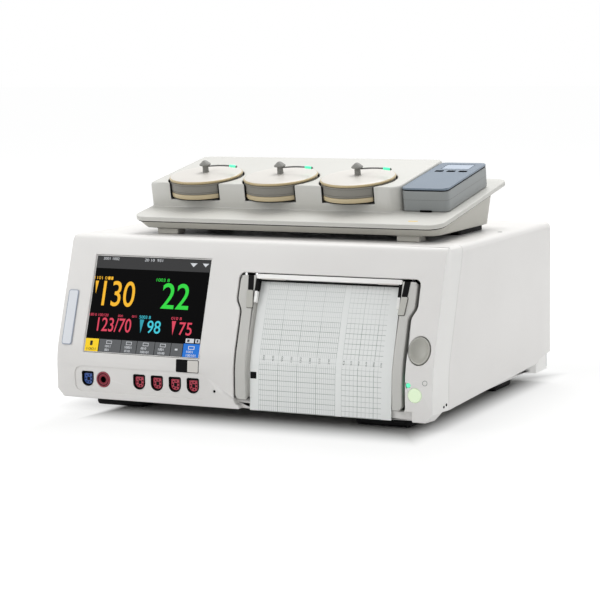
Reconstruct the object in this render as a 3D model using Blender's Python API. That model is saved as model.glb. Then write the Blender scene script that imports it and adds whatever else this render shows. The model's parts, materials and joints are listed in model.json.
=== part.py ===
# A cardiotocograph: a bench monitor with a sloping front, a touch screen and a strip chart
# recorder, and on top of it a docking tray with three cordless transducers and a handset.
# Metres, +Z up, front towards -Y. The origin is the middle of the footprint, on the bench.

import math

import bmesh
import bpy
from mathutils import Matrix, Vector

# Clearances and cuts
SEAT = 0.0003
SLIP = 0.0006
OVERRUN = 0.004
ARC_STEPS = 4
ROUND_STEPS = 36

# Monitor body
BODY_WIDTH = 0.424
BODY_DEPTH = 0.320
BODY_HEIGHT = 0.172
BODY_WALL = 0.003
TOP_EDGE_ROUND = 0.006
LIP_HEIGHT = 0.010
LIP_THICKNESS = 0.0165
SIDE_HEIGHT = 0.0185
SIDE_RISE = 0.007
REAR_NOTCH_HEIGHT = 0.0035
REAR_NOTCH_LENGTH = 0.038

# Front face: upright at the foot, then bent back to a slope
FACE_TILT = math.radians(18.64)
FACE_BEND = 0.090
FACE_UPRIGHT = 0.041
FACE_TOP_ROUND = 0.009
FACE_INSET = 0.005
BEZEL_DEPTH = 0.028

# Screen. Shares are of the face left of the door and of the slope's length
SCREEN_WIDTH_SHARE = 0.63035
SCREEN_HEIGHT_SHARE = 0.92127
SCREEN_PLACE_SHARE = 0.48906
SCREEN_UP_SHARE = 0.34849
SCREEN_RECESS = 0.0016
GLASS_BORDER = 0.0006
GLASS_THICKNESS = 0.0025
LCD_SIDE_BORDER = 0.009
LCD_TOP_BORDER = 0.0075
LCD_THICKNESS = 0.008

# Name plate, left bare
PLATE_WIDTH = 0.0116
PLATE_LENGTH_SHARE = 0.52830
PLATE_THICKNESS = 0.0009
PLATE_FROM_LEFT = 0.0159
PLATE_UP_SHARE = 0.20112

# Patient sockets. Shares are of the face left of the door
SOCKET_WIDTH_SHARE = 0.06327
SOCKET_HEIGHT = 0.0148
SOCKET_LENGTH = 0.0130
SOCKET_RIM = 0.0012
SOCKET_CAVITY = 0.0065
SOCKET_LEVEL = 0.0299
SOCKET_PITCH_SHARE = 0.09753
FIRST_FETAL_SHARE = 0.48145
BLUE_PLACE_SHARE = 0.19458
ROUND_SOCKET_GAP = 0.00385
SOCKET_CLEARANCE = 0.0005
ROUND_SOCKET_BORE = 0.0062
SOCKET_PROUD = 0.0005
SOCKET_BAR = 0.0025
BAY_PLACE_SHARE = 0.12369
BAY_WIDTH_SHARE = 0.73264
BAY_DEPTH = 0.0012
BAY_HEIGHT = 0.026
BAY_ROUND = 0.008
PINHOLE_PLACE_SHARE = 0.8900
PINHOLE_LEVEL = 0.026
PINHOLE = 0.0028

# Recorder door. Shares are of the slope's length
DOOR_FROM_RIGHT = 0.1245
ARM_REACH = 0.0893
ARM_BULGE = 0.0055
ARM_WIDTH = 0.0115
ARM_THICKNESS = 0.012
ARM_UP_SHARE = 0.68957
BULGE_LENGTH = 0.024
BULGE_BLEND = 0.014
ARM_FOOT = 0.0198
ARM_CORNER = 0.004
DOOR_GAP = 0.0018
LEDGE_WIDTH = 0.1836
LEDGE_SHIFT = 0.0064
LEDGE_DEPTH = 0.0075
LEDGE_SWEEP = 0.0056
LEDGE_SWEEP_DROP = 0.0064
ARM_FOOT_ROUND = 0.0055
DOORWAY_FOOT_ROUND = 0.0035
TABLE_SETBACK = 0.0065
TABLE_THICKNESS = 0.003
TABLE_UP_SHARE = 0.55610

# Door hinge
HINGE_BACK = 0.013
HINGE_HEIGHT = 0.015
HINGE_PIN = 0.003
HINGE_PIN_OVERHANG = 0.010
LUG_WIDTH = 0.007
LUG_RADIUS = 0.0032
LUG_NECK = 0.0042
LUG_POCKET = 0.0036
HINGE_RELIEF = 0.0094
LUG_FROM_ARM = 0.010

# Paper
PAPER_WIDTH = 0.1505
PAPER_THICKNESS = 0.0005
PAPER_FOOT = 0.0096
PAPER_FLARE = 0.0015
PAPER_TOP_SHARE = 0.60244
PAPER_TOP_SETBACK = 0.0088
PAPER_BEND_SHARE = 0.41707
PACK_LENGTH = 0.090
PACK_HEIGHT = 0.022

# Paper tray behind the door
TRAY_WALL = 0.002
TRAY_SLACK = 0.0008
TRAY_FLOOR = 0.0240
TRAY_HEIGHT = 0.034
TRAY_SHOULDER = 0.017
TRAY_LEAN = 0.0026

# Clear paper guide across the top of the door
GUIDE_HEIGHT = 0.007
GUIDE_THICKNESS = 0.004
GUIDE_PROUD = 0.001
GUIDE_LEG = 0.003
GUIDE_LEG_SHARE = 0.26415
GUIDE_STUB_RADIUS = 0.001
GUIDE_STUB_LENGTH = 0.002
GUIDE_TOP_SHARE = 0.69605
GUIDE_PIVOT_SHARE = 0.45044
GUIDE_PIVOT_SETBACK = 0.001

# Recorder mechanism
ROLLER_RADIUS = 0.008
ROLLER_LENGTH = 0.152
SHAFT_RADIUS = 0.0025
ROLLER_UP_SHARE = 0.59873
ROLLER_SETBACK = 0.021
GEAR_MODULE = 0.0007
ROLLER_TEETH = 20
PINION_TEETH = 10
GEAR_FACE = 0.0022
CHEEK_THICKNESS = 0.0025
CHEEK_INSET = 0.0058
CHEEK_SETBACK = 0.0145
CHEEK_TOP_DROP = 0.024
CHEEK_DEPTH = 0.070
BRIDGE_THICKNESS = 0.002
HEAD_CLEARANCE = 0.0007
HEAD_DEPTH = 0.020
HEAD_FRONT_SETBACK = 0.0095
MOTOR_DIAMETER = 0.035
MOTOR_LENGTH = 0.022
MOTOR_SHAFT_RADIUS = 0.0015

# Controls on the right
EJECT_WIDTH = 0.0211
EJECT_HEIGHT = 0.0266
EJECT_FROM_RIGHT = 0.0210
EJECT_UP = 0.0080
EJECT_PROUD = 0.0012
BUTTON_GAP = 0.0007
BUTTON_FLANGE = 0.0014
FLANGE_THICKNESS = 0.0016
BUTTON_STEM = 0.010
EJECT_STEM_RADIUS = 0.004
POWER_DIAMETER = 0.0124
POWER_FROM_RIGHT = 0.0233
POWER_LEVEL = 0.0358
POWER_PROUD = 0.0003
POWER_STEM_RADIUS = 0.0025
LED_DIAMETER = 0.0038
LED_FROM_RIGHT = 0.0300
LED_LEVEL = 0.0450
LED_LENGTH = 0.009
LED_PROUD = 0.0003

# Base, rear and inside
PAN_BOTTOM = 0.014
PAN_THICKNESS = 0.0025
PAN_FLANGE = 0.022
FOOT_LENGTH = 0.058
FOOT_DEPTH = 0.050
FOOT_FROM_SIDE = 0.066
FOOT_FROM_FRONT = 0.046
FOOT_FROM_REAR = 0.047
FOOT_ROUND = 0.006
REAR_PLATE = 0.002
REAR_RECESS = 0.0022
BOARD_THICKNESS = 0.0016
MAIN_BOARD_LENGTH = 0.180
MAIN_BOARD_DEPTH = 0.100
MAIN_BOARD_FROM_RIGHT = 0.012
MAIN_BOARD_FROM_REAR = 0.016
CHIP_HEIGHT = 0.0035
STANDOFF = 0.005
STANDOFF_RADIUS = 0.0035
SUPPLY_LENGTH = 0.120
SUPPLY_DEPTH = 0.085
SUPPLY_HEIGHT = 0.042
SUPPLY_FROM_LEFT = 0.014
SUPPLY_FROM_REAR = 0.034
SPEAKER_RADIUS = 0.030
SPEAKER_HEIGHT = 0.024
SPEAKER_FROM_LEFT = 0.060
SPEAKER_FROM_FRONT = 0.085
SIGNAL_BOARD_SHARE = 0.72312
SIGNAL_BOARD_HEIGHT = 0.034
INLET_WIDTH = 0.027
INLET_HEIGHT = 0.020
INLET_DEPTH = 0.024
INLET_FLANGE = 0.006
INLET_FLANGE_THICKNESS = 0.0018
INLET_FROM_LEFT = 0.060
INLET_LEVEL = 0.052
JACK_WIDTH = 0.018
JACK_HEIGHT = 0.016
JACK_DEPTH = 0.018
JACK_PITCH = 0.026
JACK_COUNT = 4
JACK_FROM_RIGHT = 0.060
JACK_LEVEL = 0.048
SCREW_HEAD_RADIUS = 0.003
SCREW_HEAD_HEIGHT = 0.0015
SCREW_RADIUS = 0.0014
SCREW_LENGTH = 0.007
SCREW_FROM_SIDE = 0.022
SCREW_LEVEL = 0.028

# Docking tray on top
DOCK_TILT = math.radians(9.5)
TRAY_PLATE_WIDTH = 0.3435
TRAY_PLATE_DEPTH = 0.1915
TRAY_PLATE_THICKNESS = 0.0047
TRAY_PLATE_ROUND = 0.016
TRAY_REAR_ROUND = 0.012
DOCK_SHIFT = 0.01775
DOCK_FRONT = 0.064
DOCK_FRONT_HEIGHT = 0.018
DOCK_FOOT_HEIGHT = 0.006
DOCK_WALL = 0.0025
DOCK_RIM_INSET = 0.002
DOCK_BASE_DEPTH = 0.153
DOCK_BASE_FLARE = 0.010
DOCK_BASE_FRONT_FLARE = 0.006
DOCK_BASE_RIGHT_FLARE = 0.008
DOCK_BASE_REAR_LEAN = 0.005
DOCK_BASE_ROUND = 0.014
DOCK_FOOT_LENGTH = 0.024
DOCK_FOOT_DEPTH = 0.016
DOCK_FOOT_INSET = 0.028
DOCK_BOARD_LENGTH = 0.200
DOCK_BOARD_DEPTH = 0.080
BLOCK_LEFT = 0.0015
BLOCK_WIDTH = 0.281
BLOCK_FRONT = 0.0435
BLOCK_DEPTH = 0.1215
BLOCK_HEIGHT = 0.0258
BLOCK_ROUND = 0.012

# Transducers
TRANSDUCERS = 3
TRANSDUCER_PITCH = 0.087
TRANSDUCER_RADIUS = 0.0380
TRANSDUCER_FROM_LEFT = 0.054
TRANSDUCER_BACK = 0.0715
TRANSDUCER_FLOOR = 0.0080
POCKET_GAP = 0.0019
SHELL_HEIGHT = 0.0067
SHELL_ROUND = 0.003
BAND_HEIGHT = 0.0107
CAP_RADIUS = 0.0385
CAP_RIM = 0.0022
CAP_DOME = 0.0047
KNOB_STEM_RADIUS = 0.0032
KNOB_STEM = 0.007
KNOB_RADIUS = 0.006
KNOB_HEIGHT = 0.005
WIRE_RADIUS = 0.0008
WIRE_HEIGHT = 0.0062
WIRE_LENGTH = 0.034
SLEEVE_RADIUS = 0.0014
SLEEVE_LENGTH = 0.009

# Handset
HANDSET_WIDTH = 0.0495
HANDSET_LENGTH = 0.1117
HANDSET_HEIGHT = 0.0213
HANDSET_FROM_RIGHT = 0.0353
HANDSET_BACK = 0.0489
HANDSET_ROUND = 0.006
HANDSET_FACE = 0.0021
WINDOW_WIDTH = 0.030
WINDOW_LENGTH = 0.020
WINDOW_FROM_REAR = 0.0185
WINDOW_DEPTH = 0.0006
KEY_COUNT = 3
KEY_WIDTH = 0.0076
KEY_LENGTH = 0.0032
KEY_PITCH = 0.0128
KEY_FROM_REAR = 0.0384
KEY_POCKET = 0.002
KEY_PROUD = 0.0004
KEY_FLANGE = 0.0008

# Places that the sizes above give
LEFT = -BODY_WIDTH / 2
RIGHT = BODY_WIDTH / 2
FRONT = -BODY_DEPTH / 2
REAR = BODY_DEPTH / 2
SEAM = FRONT + BEZEL_DEPTH
BEND_END = (FRONT + FACE_BEND * (1 - math.cos(FACE_TILT)),
            FACE_UPRIGHT + FACE_BEND * math.sin(FACE_TILT))
SLOPE_LENGTH = (BODY_HEIGHT - BEND_END[1]) / math.cos(FACE_TILT)
SCREEN_HEIGHT = SCREEN_HEIGHT_SHARE * SLOPE_LENGTH
SCREEN_UP = SCREEN_UP_SHARE * SLOPE_LENGTH
PLATE_LENGTH = PLATE_LENGTH_SHARE * SLOPE_LENGTH
PLATE_UP = PLATE_UP_SHARE * SLOPE_LENGTH
ARM_UP = ARM_UP_SHARE * SLOPE_LENGTH
TABLE_UP = TABLE_UP_SHARE * SLOPE_LENGTH
PAPER_TOP_UP = PAPER_TOP_SHARE * SLOPE_LENGTH
PAPER_BEND_UP = PAPER_BEND_SHARE * SLOPE_LENGTH
GUIDE_LEG_LENGTH = GUIDE_LEG_SHARE * SLOPE_LENGTH
GUIDE_TOP_UP = GUIDE_TOP_SHARE * SLOPE_LENGTH
GUIDE_PIVOT_UP = GUIDE_PIVOT_SHARE * SLOPE_LENGTH
ROLLER_UP = ROLLER_UP_SHARE * SLOPE_LENGTH
CHEEK_TOP = BODY_HEIGHT - CHEEK_TOP_DROP
DOOR_X = RIGHT - DOOR_FROM_RIGHT
LEFT_FACE = BODY_WIDTH - DOOR_FROM_RIGHT - ARM_REACH
SCREEN_WIDTH = SCREEN_WIDTH_SHARE * LEFT_FACE
SCREEN_FROM_LEFT = SCREEN_PLACE_SHARE * LEFT_FACE
SOCKET_WIDTH = SOCKET_WIDTH_SHARE * LEFT_FACE
SOCKET_PITCH = SOCKET_PITCH_SHARE * LEFT_FACE
FIRST_FETAL_FROM_LEFT = FIRST_FETAL_SHARE * LEFT_FACE
BLUE_FROM_LEFT = BLUE_PLACE_SHARE * LEFT_FACE
ROUND_SOCKET = 2 * (SOCKET_LEVEL - SIDE_HEIGHT - BODY_WALL - SOCKET_CLEARANCE)
ROUND_FROM_LEFT = BLUE_FROM_LEFT + (SOCKET_WIDTH + ROUND_SOCKET) / 2 + ROUND_SOCKET_GAP
BAY_FROM_LEFT = BAY_PLACE_SHARE * LEFT_FACE
BAY_WIDTH = BAY_WIDTH_SHARE * LEFT_FACE
PINHOLE_FROM_LEFT = PINHOLE_PLACE_SHARE * LEFT_FACE
SIGNAL_BOARD_LENGTH = SIGNAL_BOARD_SHARE * LEFT_FACE
PAN_TOP = PAN_BOTTOM + PAN_THICKNESS
PAN_HALF = BODY_WIDTH / 2 - BODY_WALL - SEAT
REAR_FACE = REAR - REAR_RECESS
HINGE_Y = FRONT + HINGE_BACK
ARM_INNER = ARM_REACH - ARM_WIDTH
TRAY_HALF = PAPER_WIDTH / 2 + TRAY_SLACK + TRAY_WALL
GEAR_DISTANCE = GEAR_MODULE * (ROLLER_TEETH + PINION_TEETH) / 2
DOCK_LEFT = DOCK_SHIFT - TRAY_PLATE_WIDTH / 2
DOCK_RIGHT = DOCK_SHIFT + TRAY_PLATE_WIDTH / 2
CAP_FOOT = TRANSDUCER_FLOOR + SEAT + SHELL_HEIGHT + SEAT + BAND_HEIGHT + SEAT
CAP_TOP = CAP_FOOT + CAP_DOME


def clear_scene():
    for item in list(bpy.data.objects):
        bpy.data.objects.remove(item, do_unlink=True)


def plastic(name, color, roughness, metallic=0.0):
    made = bpy.data.materials.new(name)
    made.use_nodes = True
    shader = made.node_tree.nodes["Principled BSDF"]
    shader.inputs["Base Color"].default_value = (*color, 1.0)
    shader.inputs["Roughness"].default_value = roughness
    shader.inputs["Metallic"].default_value = metallic
    return made


def make_frame(name, place):
    empty = bpy.data.objects.new(name, None)
    bpy.context.scene.collection.objects.link(empty)
    empty.matrix_world = place
    return empty


def add_object(name, shape, look=None, parent=None, place=(0, 0, 0)):
    """Closes a bmesh into a named object, at a place in its parent's frame."""
    bmesh.ops.recalc_face_normals(shape, faces=shape.faces)
    mesh = bpy.data.meshes.new(name)
    shape.to_mesh(mesh)
    shape.free()
    made = bpy.data.objects.new(name, mesh)
    bpy.context.scene.collection.objects.link(made)
    made.parent = parent
    made.location = place
    if look:
        mesh.materials.append(look)
        mesh.shade_smooth()
        mesh.set_sharp_from_angle(angle=math.radians(35))
    else:
        made.hide_render = True
        made.display_type = 'WIRE'
    return made


def combine(target, tool, operation):
    step = target.modifiers.new(tool.name, 'BOOLEAN')
    step.operation = operation
    step.solver = 'EXACT'
    step.object = tool


def cut(target, *tools):
    for tool in tools:
        combine(target, tool, 'DIFFERENCE')


def unite(target, *tools):
    for tool in tools:
        combine(target, tool, 'UNION')


def round_edges(shape, radius, chosen, steps=3):
    edges = [edge for edge in shape.edges if chosen(*[v.co for v in edge.verts])]
    bmesh.ops.bevel(shape, geom=edges, offset=radius, segments=steps, profile=0.5,
                    affect='EDGES', clamp_overlap=True)


def box(shape, low, high):
    """Adds a box between two corners to a bmesh."""
    low, high = Vector(low), Vector(high)
    made = bmesh.ops.create_cube(shape, size=1.0)
    bmesh.ops.scale(shape, verts=made['verts'], vec=high - low)
    bmesh.ops.translate(shape, verts=made['verts'], vec=(low + high) / 2)
    return made['verts']


def boxes(*corners):
    shape = bmesh.new()
    for low, high in corners:
        box(shape, low, high)
    return shape


def prism(outline, low, high, axis='X', shape=None):
    """Extrudes an outline of two coordinates along the third axis."""
    shape = shape or bmesh.new()
    order = {'X': lambda a, b, c: (c, a, b), 'Y': lambda a, b, c: (a, c, b),
             'Z': lambda a, b, c: (a, b, c)}[axis]
    face = shape.faces.new([shape.verts.new(order(a, b, low)) for a, b in outline])
    grown = bmesh.ops.extrude_face_region(shape, geom=[face], use_keep_orig=True)
    moved = [item for item in grown['geom'] if isinstance(item, bmesh.types.BMVert)]
    bmesh.ops.translate(shape, verts=moved, vec=order(0, 0, high - low))
    return shape


def loft(rings):
    """Joins rings of as many points each, with a flat face on both ends."""
    shape = bmesh.new()
    loops = [[shape.verts.new(point) for point in ring] for ring in rings]
    count = len(loops[0])
    for lower, upper in zip(loops, loops[1:]):
        for i in range(count):
            j = (i + 1) % count
            shape.faces.new((lower[i], lower[j], upper[j], upper[i]))
    shape.faces.new(loops[0])
    shape.faces.new(loops[-1])
    bmesh.ops.triangulate(shape, faces=shape.faces)
    return shape


def turned(profile, steps=ROUND_STEPS, shape=None):
    """Spins a profile of radius and height about Z; it starts and ends on the axis."""
    made = bmesh.new()
    points = [made.verts.new((radius, 0, height)) for radius, height in profile]
    line = [made.edges.new(pair) for pair in zip(points, points[1:])]
    bmesh.ops.spin(made, geom=points + line, cent=(0, 0, 0), axis=(0, 0, 1),
                   angle=math.tau, steps=steps, use_merge=True)
    bmesh.ops.remove_doubles(made, verts=made.verts, dist=SEAT / 100)
    return made


def arc(center, radius, start, end, steps=ARC_STEPS):
    turn = end - start
    return [(center[0] + radius * math.cos(start + turn * i / steps),
             center[1] + radius * math.sin(start + turn * i / steps)) for i in range(steps + 1)]


def rounded(low, high, radii, steps=ARC_STEPS):
    """Points of a rectangle with its own radius at each corner, anticlockwise."""
    (x0, y0), (x1, y1) = low, high
    corners = [(x0, y0, 1, 1), (x1, y0, -1, 1), (x1, y1, -1, -1), (x0, y1, 1, -1)]
    points = []
    for (x, y, dx, dy), radius, quarter in zip(corners, radii, range(4)):
        start = math.pi + quarter * math.pi / 2
        points += arc((x + dx * radius, y + dy * radius), radius, start,
                      start + math.pi / 2, steps)
    return points


def ellipse(width, height, steps=ROUND_STEPS):
    return [(width / 2 * math.cos(math.tau * i / steps),
             height / 2 * math.sin(math.tau * i / steps)) for i in range(steps)]


def turn_to(shape, matrix):
    bmesh.ops.transform(shape, matrix=matrix, verts=shape.verts)
    return shape


def face_line(depth, bottom, top):
    """The front face in side view, as (y, z), at a depth behind its surface."""
    center = (FRONT + FACE_BEND, FACE_UPRIGHT)
    bend = arc(center, FACE_BEND - depth, math.pi, math.pi - FACE_TILT)
    y, z = bend[-1]
    points = [(FRONT + depth, bottom)] if bottom < FACE_UPRIGHT else []
    return points + bend + [(y + (top - z) * math.tan(FACE_TILT), top)]


def slope_point(up, setback):
    """A place (y, z) up the slope from the end of the bend, behind the face."""
    y, z = BEND_END
    sine, cosine = math.sin(FACE_TILT), math.cos(FACE_TILT)
    return y + up * sine + setback * cosine, z + up * cosine - setback * sine


def band_outline(near, far, bottom, top_up):
    """A band that follows the face in side view, between two depths."""
    front = face_line(near, bottom, slope_point(top_up, near)[1])
    back = face_line(far, bottom, slope_point(top_up, far)[1])
    return front + back[::-1]


def face_frame():
    y, z = BEND_END
    return Matrix.Translation((0, y, z)) @ Matrix.Rotation(math.pi / 2 - FACE_TILT, 4, 'X')


def dock_frame():
    low = BODY_HEIGHT + DOCK_FRONT_HEIGHT
    return Matrix.Translation((0, -BODY_DEPTH / 2 + DOCK_FRONT, low)) @ \
        Matrix.Rotation(DOCK_TILT, 4, 'X')


def dock_to_world(point):
    return dock_frame() @ Vector(point)


def door_outline(spare):
    """The door's arms seen square to the slope, with a bulge at the top of each side."""
    wide = ARM_REACH + ARM_BULGE + spare
    narrow = ARM_REACH + spare
    top = ARM_UP + spare
    low_bulge = ARM_UP - BULGE_LENGTH
    foot = -BEND_END[1] - OVERRUN
    corner = ARM_CORNER + spare
    right = [(narrow, foot), (narrow, low_bulge - BULGE_BLEND)]
    for i in range(1, ARC_STEPS):
        share = i / ARC_STEPS
        swing = (1 - math.cos(math.pi * share)) / 2
        right.append((narrow + (wide - narrow) * swing, low_bulge - BULGE_BLEND * (1 - share)))
    right.append((wide, low_bulge))
    right += arc((wide - corner, top - corner), corner, 0, math.pi / 2)
    return right + [(-x, y) for x, y in right[::-1]]


def door_foot_outline(spare, rise, corner):
    """The door from the front, near its foot, where the outer corners are rounded."""
    half = ARM_REACH + spare
    foot = ARM_FOOT - rise
    right = arc((half - corner, foot + corner), corner, -math.pi / 2, 0)
    right += [(half + ARM_BULGE + OVERRUN, foot + 2 * corner),
              (half + ARM_BULGE + OVERRUN, BODY_HEIGHT)]
    return [(DOOR_X - x, z) for x, z in right[::-1]] + [(DOOR_X + x, z) for x, z in right]


def lug_places():
    return [DOOR_X + side * (ARM_INNER - LUG_FROM_ARM) for side in (-1, 1)]


def d_outline(width, height):
    """A socket's outline: straight at the top and sides, round at the foot."""
    half = width / 2
    top = height - half
    corner = width / 10
    points = arc((half - corner, top - corner), corner, 0, math.pi / 2, 2)
    points += arc((corner - half, top - corner), corner, math.pi / 2, math.pi, 2)
    points += arc((0, 0), half, math.pi, math.tau, 2 * ARC_STEPS)
    drop = (height - 2 * half) / 2
    return [(x, z - drop) for x, z in points]


def shifted(outline, dx, dy):
    return [(x + dx, y + dy) for x, y in outline]


def fetal_places():
    return [LEFT + FIRST_FETAL_FROM_LEFT + i * SOCKET_PITCH for i in range(4)]


def build_bezel(face, white):
    """The front moulding: a shell whose side band widens from the face to the seam."""
    top_y = face_line(0, LIP_HEIGHT, BODY_HEIGHT)[-1][0]
    front = face_line(0, LIP_HEIGHT, BODY_HEIGHT)[:-1]
    reach = FACE_TOP_ROUND * math.tan((math.pi / 2 - FACE_TILT) / 2)
    center = (top_y + reach, BODY_HEIGHT - FACE_TOP_ROUND)
    crown = arc(center, FACE_TOP_ROUND, math.pi - FACE_TILT, math.pi / 2)
    seam = [(y + BEZEL_DEPTH, z) for y, z in face_line(0, SIDE_HEIGHT, BODY_HEIGHT)]
    inner_lip = FRONT + LIP_THICKNESS
    half = BODY_WIDTH / 2
    outline = [(y, z, half - FACE_INSET) for y, z in front + crown]
    outline += [(y, z, half) for y, z in seam[::-1]]
    lip_half = half - FACE_INSET * (1 - LIP_THICKNESS / BEZEL_DEPTH)
    outline += [(inner_lip, SIDE_HEIGHT, lip_half), (inner_lip, LIP_HEIGHT, lip_half)]
    shape = bmesh.new()
    sides = [[shape.verts.new((side * x, y, z)) for y, z, x in outline] for side in (-1, 1)]
    count = len(outline)
    for i in range(count):
        j = (i + 1) % count
        shape.faces.new((sides[0][i], sides[0][j], sides[1][j], sides[1][i]))
    ends = [shape.faces.new(side) for side in sides]
    bmesh.ops.triangulate(shape, faces=ends)

    def top_side(a, b):
        along = abs(a.y - b.y) > BEZEL_DEPTH / 2 and a.x * b.x > 0
        return along and min(a.z, b.z) > BODY_HEIGHT - SEAT and abs(a.x) > half - 2 * FACE_INSET

    round_edges(shape, TOP_EDGE_ROUND, top_side)
    bezel = add_object("front_bezel", shape, white)

    floor = SIDE_HEIGHT + BODY_WALL
    room = face_line(BODY_WALL, floor, BODY_HEIGHT - BODY_WALL)
    far = SEAM + BODY_DEPTH / 2
    room += [(far, BODY_HEIGHT - BODY_WALL), (far, floor)]
    inside = half - FACE_INSET - BODY_WALL
    hollow = add_object("cut_bezel_room", prism(room, -inside, inside))

    window = boxes(((-SCREEN_WIDTH / 2 - GLASS_BORDER - SEAT, -SCREEN_HEIGHT / 2 - GLASS_BORDER - SEAT,
                     -BODY_WALL - OVERRUN),
                    (SCREEN_WIDTH / 2 + GLASS_BORDER + SEAT, SCREEN_HEIGHT / 2 + GLASS_BORDER + SEAT,
                     OVERRUN)))
    window = add_object("cut_window", window, None, face,
                        (LEFT + SCREEN_FROM_LEFT, SCREEN_UP, 0))

    bay_low = (LEFT + BAY_FROM_LEFT, SOCKET_LEVEL - BAY_HEIGHT / 2)
    bay_high = (LEFT + BAY_FROM_LEFT + BAY_WIDTH, SOCKET_LEVEL + BAY_HEIGHT / 2)
    bay = prism(rounded(bay_low, bay_high, [BAY_ROUND] * 4), FRONT - OVERRUN,
                FRONT + BAY_DEPTH, 'Y')
    bay = add_object("cut_socket_bay", bay)

    holes = bmesh.new()
    back = FRONT + BODY_WALL + OVERRUN
    for x in [LEFT + BLUE_FROM_LEFT] + fetal_places():
        outline = shifted(d_outline(SOCKET_WIDTH + 2 * SEAT, SOCKET_HEIGHT + 2 * SEAT),
                          x, SOCKET_LEVEL)
        prism(outline, FRONT - OVERRUN, back, 'Y', holes)
    ring = ROUND_SOCKET + 2 * SEAT
    prism(shifted(ellipse(ring, ring), LEFT + ROUND_FROM_LEFT, SOCKET_LEVEL),
          FRONT - OVERRUN, back, 'Y', holes)
    prism(shifted(ellipse(PINHOLE, PINHOLE, 12), LEFT + PINHOLE_FROM_LEFT, PINHOLE_LEVEL),
          FRONT - OVERRUN, FRONT + BODY_WALL / 2, 'Y', holes)
    led = LED_DIAMETER + 2 * SEAT
    prism(shifted(ellipse(led, led, 16), RIGHT - LED_FROM_RIGHT, LED_LEVEL),
          FRONT - OVERRUN, back, 'Y', holes)
    knob = POWER_DIAMETER + 2 * BUTTON_GAP
    prism(shifted(ellipse(knob, knob), RIGHT - POWER_FROM_RIGHT, POWER_LEVEL),
          FRONT - OVERRUN, back, 'Y', holes)
    holes = add_object("cut_front_holes", holes)

    gap = 2 * BUTTON_GAP
    eject = prism(ellipse(EJECT_WIDTH + gap, EJECT_HEIGHT + gap), -BODY_WALL - OVERRUN,
                  OVERRUN, 'Z')
    eject = add_object("cut_eject_hole", eject, None, face,
                       (RIGHT - EJECT_FROM_RIGHT, EJECT_UP, 0))

    doorway = prism(door_outline(DOOR_GAP), -3 * BODY_WALL - BEZEL_DEPTH, BEZEL_DEPTH, 'Z')
    doorway = add_object("cut_doorway", doorway, None, face, (DOOR_X, 0, 0))
    above_foot = prism(door_foot_outline(DOOR_GAP, SLIP, DOORWAY_FOOT_ROUND),
                       FRONT - BEZEL_DEPTH, REAR, 'Y')
    combine(doorway, add_object("cut_doorway_foot", above_foot), 'INTERSECT')

    ledge_low = DOOR_X + LEDGE_SHIFT - LEDGE_WIDTH / 2
    ledge_high = ledge_low + LEDGE_WIDTH
    outline = [(ledge_low, LIP_HEIGHT - OVERRUN), (ledge_high, LIP_HEIGHT - OVERRUN),
               (ledge_high, ARM_FOOT)]
    outline += [(x, z + SLIP) for x, z in relief_line(ledge_low)]
    ledge = add_object("cut_ledge", prism(outline, FRONT - OVERRUN, FRONT + LEDGE_DEPTH, 'Y'))
    behind = boxes(((DOOR_X - ARM_REACH, FRONT + LIP_THICKNESS, SIDE_HEIGHT - OVERRUN),
                    (DOOR_X + ARM_REACH, SEAM + OVERRUN, SIDE_HEIGHT + BODY_WALL + OVERRUN)))
    behind = add_object("cut_sill", behind)

    notch = bmesh.new()
    for x in lug_places():
        wide = LUG_WIDTH / 2 + SLIP
        box(notch, (x - wide, FRONT - OVERRUN, HINGE_HEIGHT - LUG_POCKET),
            (x + wide, SEAM, ARM_FOOT + OVERRUN))
    notch = add_object("cut_lug_notches", notch)
    rod_hole = add_object("cut_rod_hole", rod_shape(SEAT))
    cut(bezel, hollow, window, bay, holes, eject, doorway, ledge, behind, notch, rod_hole)
    return bezel


def relief_line(ledge_low):
    """The lip's corner beside the ledge, rounded off where the arm's foot sweeps past."""
    drop = ARM_FOOT - SLIP
    return [(ledge_low - LEDGE_SWEEP * math.cos(angle), drop - LEDGE_SWEEP_DROP * math.sin(angle))
            for angle in (math.pi / 2 * i / ARC_STEPS for i in range(ARC_STEPS + 1))]


def rod_shape(spare):
    """The hinge rod along X, through the lip and both of the door's lugs."""
    size = HINGE_PIN + 2 * spare
    low, high = lug_places()
    return prism(shifted(ellipse(size, size, 16), HINGE_Y, HINGE_HEIGHT),
                 low - HINGE_PIN_OVERHANG - spare, high + HINGE_PIN_OVERHANG + spare)


def build_cover(white):
    """The long cover: a top and two sides, open below and behind."""
    seam = [(y + BEZEL_DEPTH + SEAT, z) for y, z in face_line(0, SIDE_HEIGHT, BODY_HEIGHT)]
    notch_y = REAR - REAR_NOTCH_LENGTH
    rear_z = SIDE_HEIGHT + SIDE_RISE
    outline = seam + [(REAR, BODY_HEIGHT), (REAR, rear_z + 2 * REAR_NOTCH_HEIGHT),
                      (notch_y + REAR_NOTCH_HEIGHT, rear_z + REAR_NOTCH_HEIGHT),
                      (notch_y, rear_z)]
    half = BODY_WIDTH / 2
    shape = prism(outline, -half, half)

    def top_side(a, b):
        along = abs(a.y - b.y) > BODY_DEPTH / 2
        return along and min(a.z, b.z) > BODY_HEIGHT - SEAT

    round_edges(shape, TOP_EDGE_ROUND, top_side)
    cover = add_object("top_cover", shape, white)
    inside = half - BODY_WALL
    room = boxes(((-inside, FRONT - OVERRUN, -OVERRUN),
                  (inside, REAR + OVERRUN, BODY_HEIGHT - BODY_WALL)))
    cut(cover, add_object("cut_cover_room", room))
    return cover


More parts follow.
